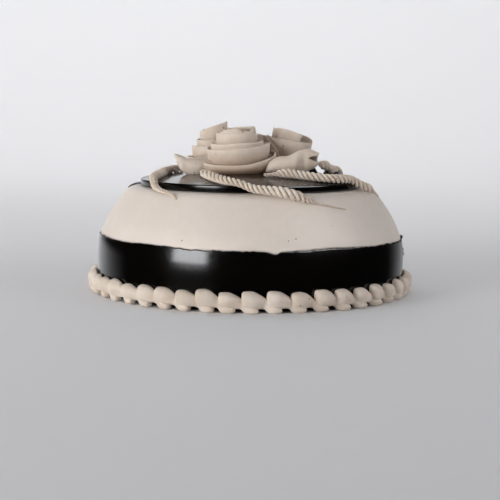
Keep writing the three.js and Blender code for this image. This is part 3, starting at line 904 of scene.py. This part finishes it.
def heart(profile):
    """The core that the petals are wound on, turned from its profile."""
    profile = smooth_rows(profile, 40)
    profile[:, 0] = np.maximum(profile[:, 0], 0)
    return turned(profile, 72)


def rose(at, lean, core, petals):
    """The skins of a rose, leant to the right by some degrees and set in its place."""
    turn = np.array(Matrix.Rotation(math.radians(lean), 3, "Y"))
    skins = [heart(core)] + [petal(**form, seed=11 * i + 3) for i, form in enumerate(petals)]
    return [(points @ turn.T + np.array(at), faces, lay) for points, faces, lay in skins]


print("half a turn of petal:", len(petal(0, 180, [5, 5], [6, 6], [0, 0], [9, 9], 1)[1]), "faces")

# %% [markdown]
# ## The three roses
# Each rose is a list of petals, from the heart outwards. The front one is large and low: a closed bud,
# then rings that open in steps, each a little lower than the last, and a thick foot. The one behind it on
# the left is narrow and tall, and its bud is one ribbon wound twice that rises to a high end. The right
# one leans out: a cup of wide petals. Angles run from +X round past the back, so 270 degrees is the front.

# %% Front rose
ROSE_FRONT = {
    "at": (-8, -12, 81),
    "lean": -5,
    "core": [
        (0, -3), (13, -3), (14, 2), (17, 6), (18.6, 10), (16.6, 13), (12.6, 16), (10.4, 20), (7, 21),
        (0, 21),
    ],
    "petals": [
        {"start": -160, "end": 300, "foot": [1, 3.4, 7, 8.4], "lip": [1.2, 3.8, 7.4, 8.8], "base": [19, 19],
         "top": [30.4, 30.8, 31, 31.4, 31.2], "thick": 1.4, "thin": 0.8, "aside": 1.6, "shade": 0.35},
        {"start": 10, "end": 392, "foot": [10, 10.2, 10.2], "lip": [11, 11.2, 11.1], "base": [18, 18],
         "top": [31.2, 31.4, 31.4, 31.4, 31.2, 30.8, 30.6, 30.6, 31, 26.4, 31, 31.2, 31.2], "thick": 1.6,
         "thin": 0.9, "aside": 2.0, "wave": 0.1},
        {"start": 150, "end": 400, "foot": [11.4, 11.5, 11.6], "lip": [12.2, 12.4, 12.3], "base": [15, 15],
         "top": [30, 29.7, 29.2, 28.4, 28.6], "aside": 0.8},
        {"start": 158, "end": 500, "foot": [12.6, 12.8, 12.6], "lip": [13.8, 14, 13.8], "base": [13, 13],
         "top": [29.4, 28.5, 27.8, 27.0, 27.4, 29.6], "aside": -0.2},
        {"start": 150, "end": 440, "foot": [16, 15.4, 15.4, 16.4, 17], "lip": [18.6, 17.2, 16.8, 18.7, 20],
         "base": [10, 10], "top": [22.7, 21.7, 21.0, 21.8, 27], "aside": -0.6},
        {"start": 150, "end": 515, "foot": [18, 18.4, 18.8], "lip": [21.4, 21.4, 22.6, 22.4, 21.5],
         "base": [4, 4], "top": [19.8, 17.5, 19, 20, 19]},
        {"start": 178, "end": 384, "foot": [21, 21.5, 21.5], "lip": [26.2, 25.4, 25.8],
         "base": [0.6, 0.2, 0.8], "top": [11.8, 8.2, 6.8, 9.8, 14.6], "thick": 3.4, "belly": 2.4,
         "shade": 0.45},
        {"start": 10, "end": 190, "foot": [17.5, 17.5, 17.5], "lip": [23.5, 24, 23.5], "base": [-5, -5],
         "top": [12, 11, 9], "thick": 4},
    ],
}
make("rose_in_front", rose(**ROSE_FRONT), "rose_front", PIPED)

# %% Back left rose
ROSE_BACK_LEFT = {
    "at": (-27.5, 25, 80),
    "lean": 0,
    "core": [(0, -4), (12, -4), (13.4, 6), (12, 11), (10, 15), (8, 20), (5, 23), (0, 24)],
    "petals": [
        {"start": -30, "end": 695, "foot": [1.6, 6, 9.5], "lip": [2, 4.5, 6.8, 8.2, 9.2, 9.9, 11],
         "base": [22, 20, 18], "top": [28, 28, 28, 28, 27.6, 29.8, 36.4], "thick": 1.6, "torn": 0,
         "wave": 0.25, "shade": 3},
        {"start": 100, "end": 440, "foot": [10, 10.5, 10.6], "lip": [11.8, 12.2, 12.6], "base": [12, 12],
         "top": [23.5, 23, 24.5]},
        {"start": 160, "end": 500, "foot": [12.5, 13, 13], "lip": [15.4, 15.6, 16], "base": [4, 4],
         "top": [18.8, 17.8, 19]},
        {"start": 30, "end": 330, "foot": [12.5, 12.5, 12.5], "lip": [18.5, 19, 18.5], "base": [-4, -4],
         "top": [9, 11, 8], "thick": 3.4},
    ],
}
make("rose_at_back", rose(**ROSE_BACK_LEFT), "rose_back_left", PIPED)

# %% Right rose
ROSE_RIGHT = {
    "at": (21.5, 13, 81.5),
    "lean": 16,
    "core": [(0, -6), (9, -6), (10, 0), (10.8, 10), (8, 15), (0, 16)],
    "petals": [
        {"start": -20, "end": 400, "foot": [1.6, 3, 5], "lip": [2.2, 4, 6.4], "base": [13, 13],
         "top": [20, 21, 21, 20], "thick": 1.6},
        {"start": 176, "end": 296, "foot": [10, 10.4, 10.6], "lip": [14.6, 14.9, 15, 14.4], "base": [4, 4],
         "top": [29, 28, 29.4, 29.6, 29.2, 28.6], "torn": 0, "wave": 0.5},
        {"start": 2, "end": 172, "foot": [10.5, 10.5, 10], "lip": [14.6, 13.8, 14], "base": [4, 4],
         "top": [26.6, 28.4, 28.4, 28, 27], "torn": 0.2},
        {"start": 196, "end": 384, "foot": [12, 12.2, 12.2], "lip": [15.4, 17.2, 17.6, 15.8, 14.6],
         "base": [2, 2], "top": [20.4, 22.2, 23.6, 26, 27.6], "belly": 1.4, "shade": 0.9},
        {"start": 168, "end": 292, "foot": [12.4, 12.6, 13], "lip": [17.2, 17.6, 17.2, 16.6],
         "base": [-2, -2], "top": [22, 21.6, 18.4, 14.4], "shade": 0.3},
        {"start": 160, "end": 262, "foot": [13, 13.4, 13], "lip": [18.8, 19, 17.6, 15.6], "base": [-2, -2],
         "top": [20.5, 21.4, 17, 9.6], "shade": 0.3},
        {"start": 138, "end": 208, "foot": [13, 13, 13], "lip": [21.5, 24.5, 22.5], "base": [-2, -2],
         "top": [20, 20.8, 19.6], "shade": 0.3},
        {"start": 105, "end": 190, "foot": [12, 12, 12], "lip": [18, 19, 18], "base": [-3, -3],
         "top": [18, 21, 17], "shade": 0.3},
        {"start": -30, "end": 120, "foot": [10.5, 11, 11], "lip": [16, 17, 17], "base": [-4, -4],
         "top": [9, 12, 15]},
    ],
}
make("rose_at_right", rose(**ROSE_RIGHT), "rose_right", PIPED)

# %% [markdown]
# ## Leaves
# A leaf comes from a nozzle cut to a V: a folded strip that swells and then is pulled off to a point. Two
# of them lie open like a boat. A flat strip could be bent by modifiers, but its fold deepens and fades
# along the leaf, so it is laid out as sections along its length, each with the height of its fold and of
# its edges.

# %% Boat leaves
LEAF_ALONG, LEAF_ACROSS = 46, 19
FOLD_SHARP = 1.5


def leaf(sections, thick, seed, belly=0):
    """A folded strip. Each section is (x, y, height of the fold, height of the front edge, half width, how
    much higher the back edge is). belly is how far its side comes out for each millimetre below its edge."""
    rows = smooth_rows(sections, LEAF_ALONG)
    t = np.linspace(0, 1, len(rows))
    across = np.linspace(-1, 1, LEAF_ACROSS)
    heading = np.gradient(rows[:, :2], axis=0)
    heading /= np.linalg.norm(heading, axis=1)[:, None]
    rings, lay = [], []
    for i, (x, y, fold, edge, half, lift) in enumerate(rows):
        half = max(half * (1 + 0.06 * wander(7 * t[i], seed, 1, 6)), 0.3)
        side = np.array([-heading[i, 1], heading[i, 0]])
        depth = min(thick, half * 1.4)
        back = lift * (1 - across) / 2
        over = edge + back + (fold - edge) * (1 - np.abs(across) ** FOLD_SHARP) ** 1.1
        under = min(fold, edge) - depth * np.sqrt(np.maximum(0, 1 - across**2)) * 0.9 - 0.25
        under = np.minimum(under + (edge - min(fold, edge)) * across**2 + back, over - 0.3)
        share = np.concatenate([across, across[1:-1][::-1]])
        z = np.concatenate([over, under[1:-1][::-1]])
        out = share * half + belly * np.maximum(edge - z, 0)
        rings.append(np.stack([x + out * side[0], y + out * side[1], z], axis=-1))
        run = np.full_like(share, 40 * t[i])
        # a small even share of the painted fold shade, all over the leaf
        lay.append(np.stack([run, share * half + np.sign(z - edge), np.full_like(share, OPEN_FOLD_SHADE)], axis=-1))
    return loft(rings, lay=np.array(lay))


LEAF_LEFT = [
    (-24, -11, 87.5, 90.6, 7, 3.4), (-33, -12.5, 87.2, 90.4, 9.4, 2.2), (-41, -14, 87.6, 91.2, 9.5, -0.6),
    (-46.5, -15, 89.2, 92, 7.5, 0.6), (-50.5, -15.4, 92, 93.4, 4, 0.4), (-53, -15.4, 94.2, 94.4, 0.6, 0),
]
LEAF_BACK = [
    (4, 22, 90, 87, 4, 0), (7, 30, 91.5, 88.5, 7.5, 0), (10, 38, 89.5, 90, 9, 0),
    (12.5, 45, 87.5, 90.5, 7, 0), (14.5, 51, 88, 89.5, 4, 0), (16, 55, 90.5, 91, 0.7, 0),
]
make("left_leaf", [leaf(LEAF_LEFT, 8.6, 61, belly=0.55)], "leaf_left", PIPED)
make("back_leaf", [leaf(LEAF_BACK, 4, 63)], "leaf_back", PIPED)

# %% [markdown]
# ## The pouch leaf
# On the right the two lips of the leaf closed over, so that it is a pouch with a crease round it and an
# open mouth at its end. It is made like a sleeve: rings round its line, each reaching further at the top
# and at the bottom than in front, then over the rim and back inside, so that the mouth is a hollow with a
# thin wall.

# %% The pouch leaf
POUCH = {"middle": -27, "wall": 1.1, "around": 96, "along": 40, "inside": 0.45}
# Along it, in millimetres: the place on X, the heights of its top and bottom, and its half depth.
POUCH_FORM = [
    (9.8, 85.6, 83.0, 1.2), (11.4, 89.2, 82.9, 4.5), (13.8, 91.2, 82.9, 6.6), (17.0, 93.1, 82.9, 8.0),
    (20.4, 94.0, 82.9, 8.6), (23.8, 94.1, 82.9, 8.6), (27.2, 95.3, 82.9, 8.4), (30.4, 97.1, 83.0, 8.2),
    (33.2, 98.3, 83.2, 5.6), (35.4, 98.8, 83.4, 3.6), (37.4, 99.2, 83.8, 5.0), (40.0, 99.1, 84.8, 4.6),
    (43.0, 98.0, 86.2, 3.4), (46.2, 96.4, 87.8, 2.3), (48.6, 95.0, 88.6, 1.4),
]
# Round its rim, in degrees from the top over the front: how far on X the rim reaches.
POUCH_RIM = [
    (0, 46), (35, 46), (54, 45.6), (64, 43.6), (72, 40.4), (80, 38.4), (88, 40), (98, 42.4), (110, 44.4),
    (120, 45.2), (130, 45.2), (150, 44.4), (164, 43), (180, 42.5), (205, 44), (240, 45), (300, 45.5),
    (360, 46),
]


def pouch():
    """The skin of the pouch, outside and then inside."""
    turn = np.linspace(0, 360, POUCH["around"], endpoint=False)
    rim = np.interp(turn, *np.transpose(POUCH_RIM)) + 0.25 * wander(np.radians(turn), 65, 3, 12)
    form = smooth_rows(POUCH_FORM, 300)
    rings, lay = [], []
    outward = [(share, 0) for share in np.linspace(0, 1, POUCH["along"])]
    inward = [(share, POUCH["wall"]) for share in np.linspace(0.985, POUCH["inside"], POUCH["along"] // 2)]
    for share, wall in outward + inward:
        x = form[0, 0] + (rim - form[0, 0]) * share
        top, bottom, depth = (np.interp(x, form[:, 0], form[:, k]) for k in (1, 2, 3))
        half = np.maximum((top - bottom) / 2 - wall, 0.1)
        y = POUCH["middle"] - np.maximum(depth - wall, 0.1) * np.sin(np.radians(turn))
        rings.append(np.stack([x, y, (top + bottom) / 2 + half * np.cos(np.radians(turn))], axis=-1))
        # a small even share of the painted fold shade, all over the pouch
        lay.append(np.stack([x, turn * 0.15 + 9 * wall, np.full_like(turn, OPEN_FOLD_SHADE)], axis=-1))
    return loft(rings, lay=np.array(lay))


make("right_leaf", [pouch()], "leaf_right", PIPED)

# %% [markdown]
# ## Ropes
# The ropes were piped with a star nozzle that was turned as it moved, so three strands wind round each
# other, and three of them end in a thread where the cream was drawn off. The line of a rope is a list of
# places in plan, because a hand laid it freely. Its height is worked out: it is that of the middle of a
# ball, as thick as the rope, which rolls over the glaze, over its rim and down the cream.

# %% Lines of the ropes
ROPE = {"radius": 3.1, "strands": 3, "sides": 12, "step": 0.4}
KINK_REACH = 4  # millimetres along a rope over which a kink in its height is rounded off


def carrier(radius):
    """The height of what carries the ropes: the crowned glaze, the rounded shoulder and the coat's side."""
    bend_radius, bend_height = shoulder(np.linspace(1, 0, 30))
    side_height = np.linspace(SHOULDER_Z, WALL_TOP, 60)
    radii = np.concatenate([bend_radius, coat_radius(side_height)[1:]])
    heights = np.concatenate([bend_height, side_height[1:]])
    return np.where(radius < DECK_RADIUS, deck_top(radius), np.interp(radius, radii, heights))


def eased(values, reach):
    """A row of values with its kinks rounded off over a reach of so many steps."""
    span = np.arange(-int(3 * reach), int(3 * reach) + 1)
    weights = np.exp(-0.5 * (span / reach) ** 2)
    ends = np.pad(values, len(span) // 2, mode="reflect", reflect_type="odd")
    return np.convolve(ends, weights / weights.sum(), mode="valid")


def rope_line(route, girth, lead):
    """A mesh of edges along a rope, with its girth and its turn at each point. A place on the route is x, y
    and, where the rope stands clear or is sunk, how far it is lifted. girth, in shares of the ropes' radius,
    and lead, the length of one turn, are lists read along it."""
    route = np.array([(*place, 0)[:3] for place in route], float)
    fine = smooth_rows(route, 60 * len(route))
    run = np.concatenate([[0], np.cumsum(np.linalg.norm(np.diff(fine[:, :2], axis=0), axis=1))])
    even = np.arange(0, run[-1], ROPE["step"])
    x, y, lift = (np.interp(even, run, fine[:, k]) for k in range(3))
    t = even / run[-1]
    girth = ROPE["radius"] * np.maximum(read(girth, t), 0.1)
    girth = girth + 0.06 * girth * wander(even / 20, int(route[0][0] + 60), 1, 7)
    turn = np.cumsum(2 * math.pi * ROPE["step"] / read(lead, t))
    reach = girth + GAP
    steps = np.linspace(-1, 1, 17)[:, None] * reach
    touches = carrier(np.hypot(x, y) + steps) + np.sqrt(np.maximum(reach**2 - steps**2, 0))
    height = eased(touches.max(axis=0), KINK_REACH / ROPE["step"]) + lift
    points = np.stack([x, y, height], axis=-1)
    mesh = bpy.data.meshes.new("rope_line")
    mesh.from_pydata((points * MM).tolist(), [(i, i + 1) for i in range(len(points) - 1)], [])
    for key, values in (("girth", girth * MM), ("turn", turn)):
        mesh.attributes.new(key, "FLOAT", "POINT").data.foreach_set("value", values.astype(np.float32))
    return mesh


print("what carries a rope 85 mm out lies at", round(float(carrier(85)), 1), "mm")

# %% [markdown]
# ## Winding the strands
# A rope could be bent out of a straight twisted bar, but then it would be as tight at its start as at its
# end. A Geometry Nodes tree takes the line as a curve instead, copies it once for each strand, winds the
# copies round it by the turn that each point carries, and sweeps a circle along them that is as large as
# the girth says.

# %% Winding the strands
def rope_tree():
    """A tree that makes a line of edges into a rope."""
    tree, nodes, wires = new_tree("rope", {"Strands": WHOLE, "Sides": WHOLE, "Strand Share": NUMBER})

    def kept(key):
        return nodes.add("GeometryNodeInputNamedAttribute", {"data_type": "FLOAT"}, {"Name": key})

    line = nodes.add("GeometryNodeMeshToCurve", {}, {"Mesh": wires["Geometry"]})
    line = nodes.add("GeometryNodeSetCurveNormal", {"mode": "Z_UP"}, {"Curve": line})
    copies = nodes.tree.nodes.new("GeometryNodeDuplicateElements")
    copies.domain = "SPLINE"
    nodes.tree.links.new(line.socket, copies.inputs["Geometry"])
    nodes.tree.links.new(wires["Strands"].socket, copies.inputs["Amount"])
    strands, number = Wire(nodes, copies.outputs["Geometry"]), Wire(nodes, copies.outputs["Duplicate Index"])
    angle = kept("turn") + number * (2 * math.pi) / wires["Strands"]
    side = nodes.add("GeometryNodeInputNormal")
    up = nodes.vector("CROSS_PRODUCT", nodes.add("GeometryNodeInputTangent"), side)
    strand = kept("girth") * wires["Strand Share"]
    arm = kept("girth") - strand
    sideways = nodes.scaled(side, nodes.math("COSINE", angle) * arm)
    upwards = nodes.scaled(up, nodes.math("SINE", angle) * arm)
    wound = nodes.add("GeometryNodeSetPosition", {}, {
        "Geometry": strands, "Offset": nodes.vector("ADD", sideways, upwards),
    })
    circle = {"Resolution": wires["Sides"], "Radius": 1.0}
    section = nodes.add("GeometryNodeCurvePrimitiveCircle", {}, circle)
    tubes = nodes.add("GeometryNodeCurveToMesh", {}, {
        "Curve": wound, "Profile Curve": section, "Scale": strand, "Fill Caps": True,
    })
    finish_tree(nodes, tubes, PIPED)
    return tree


ROPE_TREE = rope_tree()


def rope(name, node, route, girth, lead, share=0.355):
    """One rope in place of its node. share is the radius of a strand in shares of the rope's."""
    numbers = {"Strands": ROPE["strands"], "Sides": ROPE["sides"], "Strand Share": share}
    thing = grow(name, rope_line(route, girth, lead), ROPE_TREE, **numbers)
    tidy(thing.data)
    hand_over(thing, node, PIPED)


print("made the tree for the ropes:", len(ROPE_TREE.nodes), "nodes")

# %% [markdown]
# ## The four ropes
# The front rope starts in a loose coil below the front rose and runs round the front of the glaze; the
# right one starts under the pouch leaf and the left one beside the roses. All three go over the shoulder
# and end in a tail. The one at the back starts high, in loose coils, before it lies down. Where a hand
# moved on slowly the turns lie close, and where it hurried they are drawn out, so each rope has its own
# list of leads.

# %% The four ropes
rope(
    "front_rope", "rope_front", route=[
        (-27.5, -39.5), (-30.6, -39.5), (-32, -43.5), (-30, -50.5), (-27, -58.5), (-22.5, -67),
        (-15.5, -74.5), (-7, -78.5), (1, -80.5), (9, -83, 0.5), (17, -85.2, 1), (25, -86, 1.3),
        (30.6, -85, 1.1), (35.4, -82.8), (46, -78.2), (54, -74.7), (62, -69.5),
    ],
    girth=[0.6, 0.8, 1, 1, 0.98, 0.92, 0.88, 0.88, 0.95, 1.02, 1.1, 1.1, 0.9, 0.33, 0.27, 0.2, 0.12],
    lead=[13, 22, 27, 22, 13.5, 10.5, 10.2, 10.2, 10.2, 10.5, 11, 11.5, 10, 8, 8, 8, 8],
)
rope(
    "right_rope", "rope_right", route=[
        (8.5, -46), (16, -45.5), (26, -47.5), (34, -49.5), (42, -51.3), (50.5, -51), (59, -47), (66.3, -40),
        (73.5, -33.5), (79.5, -28), (85, -21), (88, -18.5),
    ],
    girth=[0.36, 0.46, 1.04, 1.02, 0.98, 0.96, 0.96, 0.96, 0.96, 0.96, 0.96, 0.96, 0.92, 0.4, 0.2],
    lead=[9, 10, 9.5, 9.8, 9.8, 9.8, 10.5, 11, 12, 12.5, 13, 13],
)
rope(
    "left_rope", "rope_left", route=[
        (-50, 12, -1.2), (-57, -0.5, -1.2), (-60.7, -17, -1.2), (-63.5, -33.4, -0.6), (-65.2, -41),
        (-63.2, -52.2), (-59.5, -60.2), (-55.2, -65.5), (-52, -68.8), (-49.9, -71.7), (-48, -75.2),
    ],
    girth=[1, 1.06, 1.1, 1.08, 1.04, 1.02, 0.96, 0.9, 0.76, 0.56, 0.4, 0.22],
    lead=[24, 23, 20, 15, 11, 10, 9, 8], share=0.41,
)
rope(
    "back_rope", "rope_back", route=[
        (45, 5, 5.4), (48.6, 8, 4.4), (51.6, 10, 3.2), (54.2, 12, 2), (56.2, 15, 0.8), (58.6, 18, 0),
        (62.4, 20, 0), (65.6, 22, 0),
    ],
    girth=[0.36, 0.4, 0.55, 0.85, 1.15, 1.1, 0.85, 0.95, 1.1, 1.2, 1.25, 1.2, 0.9, 0.4],
    lead=[10, 9, 8, 8, 10, 14, 14], share=0.45,
)

# %% [markdown]
# ## The studio
# A round pale room carries the cake: its floor runs up into its wall in a wide bend, so that no line shows
# where they meet, from any side. It is turned from a profile like the cake, and its top is left open for
# the light. It is part of the stage, not of the cake.

# %% Floor and wall of one sweep
PAPER = start_material("paper", Base_Color=screen_colour(230, 230, 232), Roughness=0.9)[0]
ROOM = {"radius": 2150, "bend": 900, "height": 1700}
STAGE_AROUND = 96


def stage_piece(name, profile, material, lid=True):
    """A shell of the studio, turned about the upright through the cake, with or without its lid."""
    points, faces, lay = turned(profile, STAGE_AROUND)
    mesh = mesh_of(name, [(points, faces if lid else faces[:-STAGE_AROUND], lay)])
    mesh.materials.append(material)
    thing = bpy.data.objects.new(name, mesh)
    scene.collection.objects.link(thing)
    thing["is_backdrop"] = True
    return thing


bend = [
    (ROOM["radius"] - ROOM["bend"] * (1 - math.sin(turn)), ROOM["bend"] * (1 - math.cos(turn)))
    for turn in np.linspace(0, math.pi / 2, 32)
]
top_corner, top_middle = (ROOM["radius"], ROOM["height"]), (0, ROOM["height"])
room = stage_piece("room", [(0, 0), *bend, top_corner, top_middle], PAPER, lid=False)
room.visible_glossy = False
print("room:", ROOM["radius"], "mm from its middle to the wall")

# %% [markdown]
# ## What the glaze mirrors
# The glaze is a mirror, and a mirror wants its own room: a dome that only reflections see. It is nearly
# dark, with one soft window low on the left, a small one high on the right, and pale paper behind that
# fills the edges of the band and the round on top. Real lamps would do, but their mirror images and their
# light could not be set one without the other. The patches are worked out from the direction, so no
# picture is needed.

# %% The dome
DOME = 3000
DOME_DARK = 0.012  # how bright the dome is between its patches
DOME_COLOUR = (0.96, 0.97, 1.0, 1.0)
# The patches of light on it: from and to round it in degrees (0 in front, + to the right), from and to in
# degrees of height, how soft their edges are each way, and how bright they are.
PATCHES = {
    "window": ((-57, -31), (0.5, 34), (2, 3), 12),
    "high window": ((38, 84), (20, 62), (8, 8), 10),
    "paper on the left": ((-200, -124), (-60, -1), (24, 2), 0.95),
    "paper behind the cake": ((-177, -150), (-1, 9), (2, 2), 0.6),
    "high paper on the left": ((-177, -150), (9, 40), (2, 3), 1.25),
    "paper on the right": ((134, 200), (-60, 4), (16, 12), 0.42),
    "ceiling": ((-150, 30), (58, 80), (12, 12), 0.6),
}


def dome_light():
    """The dome's own light: soft-edged patches on near black."""
    material = bpy.data.materials.new("dome_light")
    material.use_nodes = True
    material.cycles.emission_sampling = "NONE"
    nodes = Nodes(material.node_tree)
    material.node_tree.nodes.clear()
    place = nodes.add("ShaderNodeTexCoord", out="Object")
    x, y, z = (nodes.vector("DOT_PRODUCT", place, axis, out="Value") for axis in np.eye(3).tolist())
    azimuth = nodes.math("ARCTAN2", x, -1 * y) * math.degrees(1)
    rise = nodes.math("ARCSINE", z / (DOME * MM)) * math.degrees(1)
    light = DOME_DARK
    for across, up, soft, bright in PATCHES.values():
        patch = bright
        for value, (low, high), edge in ((azimuth, across, soft[0]), (rise, up, soft[1])):
            patch = nodes.between(value, low - edge, low + edge) * patch
            patch = nodes.between(value, high - edge, high + edge, 1.0, 0.0) * patch
        light = patch + light
    glow = nodes.add("ShaderNodeEmission", {}, {"Color": DOME_COLOUR, "Strength": light})
    nodes.add("ShaderNodeOutputMaterial", {}, {"Surface": glow})
    return material


dome = stage_piece("dome", [
    (DOME * math.sin(turn), -DOME * math.cos(turn)) for turn in np.linspace(0, math.pi, 49)
], dome_light())
dome.visible_camera = dome.visible_diffuse = dome.visible_shadow = dome.visible_transmission = False
print("dome with", len(PATCHES), "patches of light")

# %% [markdown]
# ## Lights
# Most of the light is a window's: a large soft one low on the left in front, filled from the right and a
# little from above. Two more stay behind the cake, for the wall and for the floor at its foot. All are
# rectangles of light, whose size makes the shadows soft, and a faint even light from all round keeps the
# shadows open.

# %% Lights
AROUND_LIGHT = 0.06


def softbox(name, at, aim, size, power):
    """A rectangular light at a place, in millimetres, turned to what it lights. Its power is in watts."""
    lamp = bpy.data.lights.new(name, "AREA")
    lamp.shape, lamp.energy = "RECTANGLE", power
    lamp.size, lamp.size_y = size[0] * MM, size[1] * MM
    thing = bpy.data.objects.new(name, lamp)
    scene.collection.objects.link(thing)
    thing.location = Vector(at) * MM
    thing.rotation_mode = "QUATERNION"
    thing.rotation_quaternion = (Vector(aim) - Vector(at)).to_track_quat("-Z", "Y")
    thing.visible_glossy = False


softbox("key", at=(-1180, -960, 100), aim=(0, 0, 50), size=(1000, 860), power=27)
softbox("fill", at=(1700, -800, 160), aim=(0, 0, 50), size=(1200, 1200), power=15)
softbox("top", at=(0, 300, 1900), aim=(0, 200, 0), size=(2200, 1600), power=0.9)
softbox("wall_light", at=(-450, 950, 2100), aim=(-150, 2150, 700), size=(2400, 600), power=28)
softbox("floor_light", at=(0, 1450, 1500), aim=(0, 1450, 0), size=(2600, 500), power=2.8)
world = bpy.data.worlds.new("studio")
world.use_nodes = True
world.node_tree.nodes["Background"].inputs["Color"].default_value = (1, 1, 1, 1)
world.node_tree.nodes["Background"].inputs["Strength"].default_value = AROUND_LIGHT
scene.world = world
scene.view_settings.view_transform = "Standard"

# %% [markdown]
# ## Measure and finish
# Both boxes are printed, lowest and highest corner of each, to measure the dressed cake against the frame.

# %% Boxes
boxes = {"frame": frame_box, "dressed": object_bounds()}
for key, (low, high) in boxes.items():
    print(key, [round(value / MM, 1) for value in (*low, *high)], "mm")
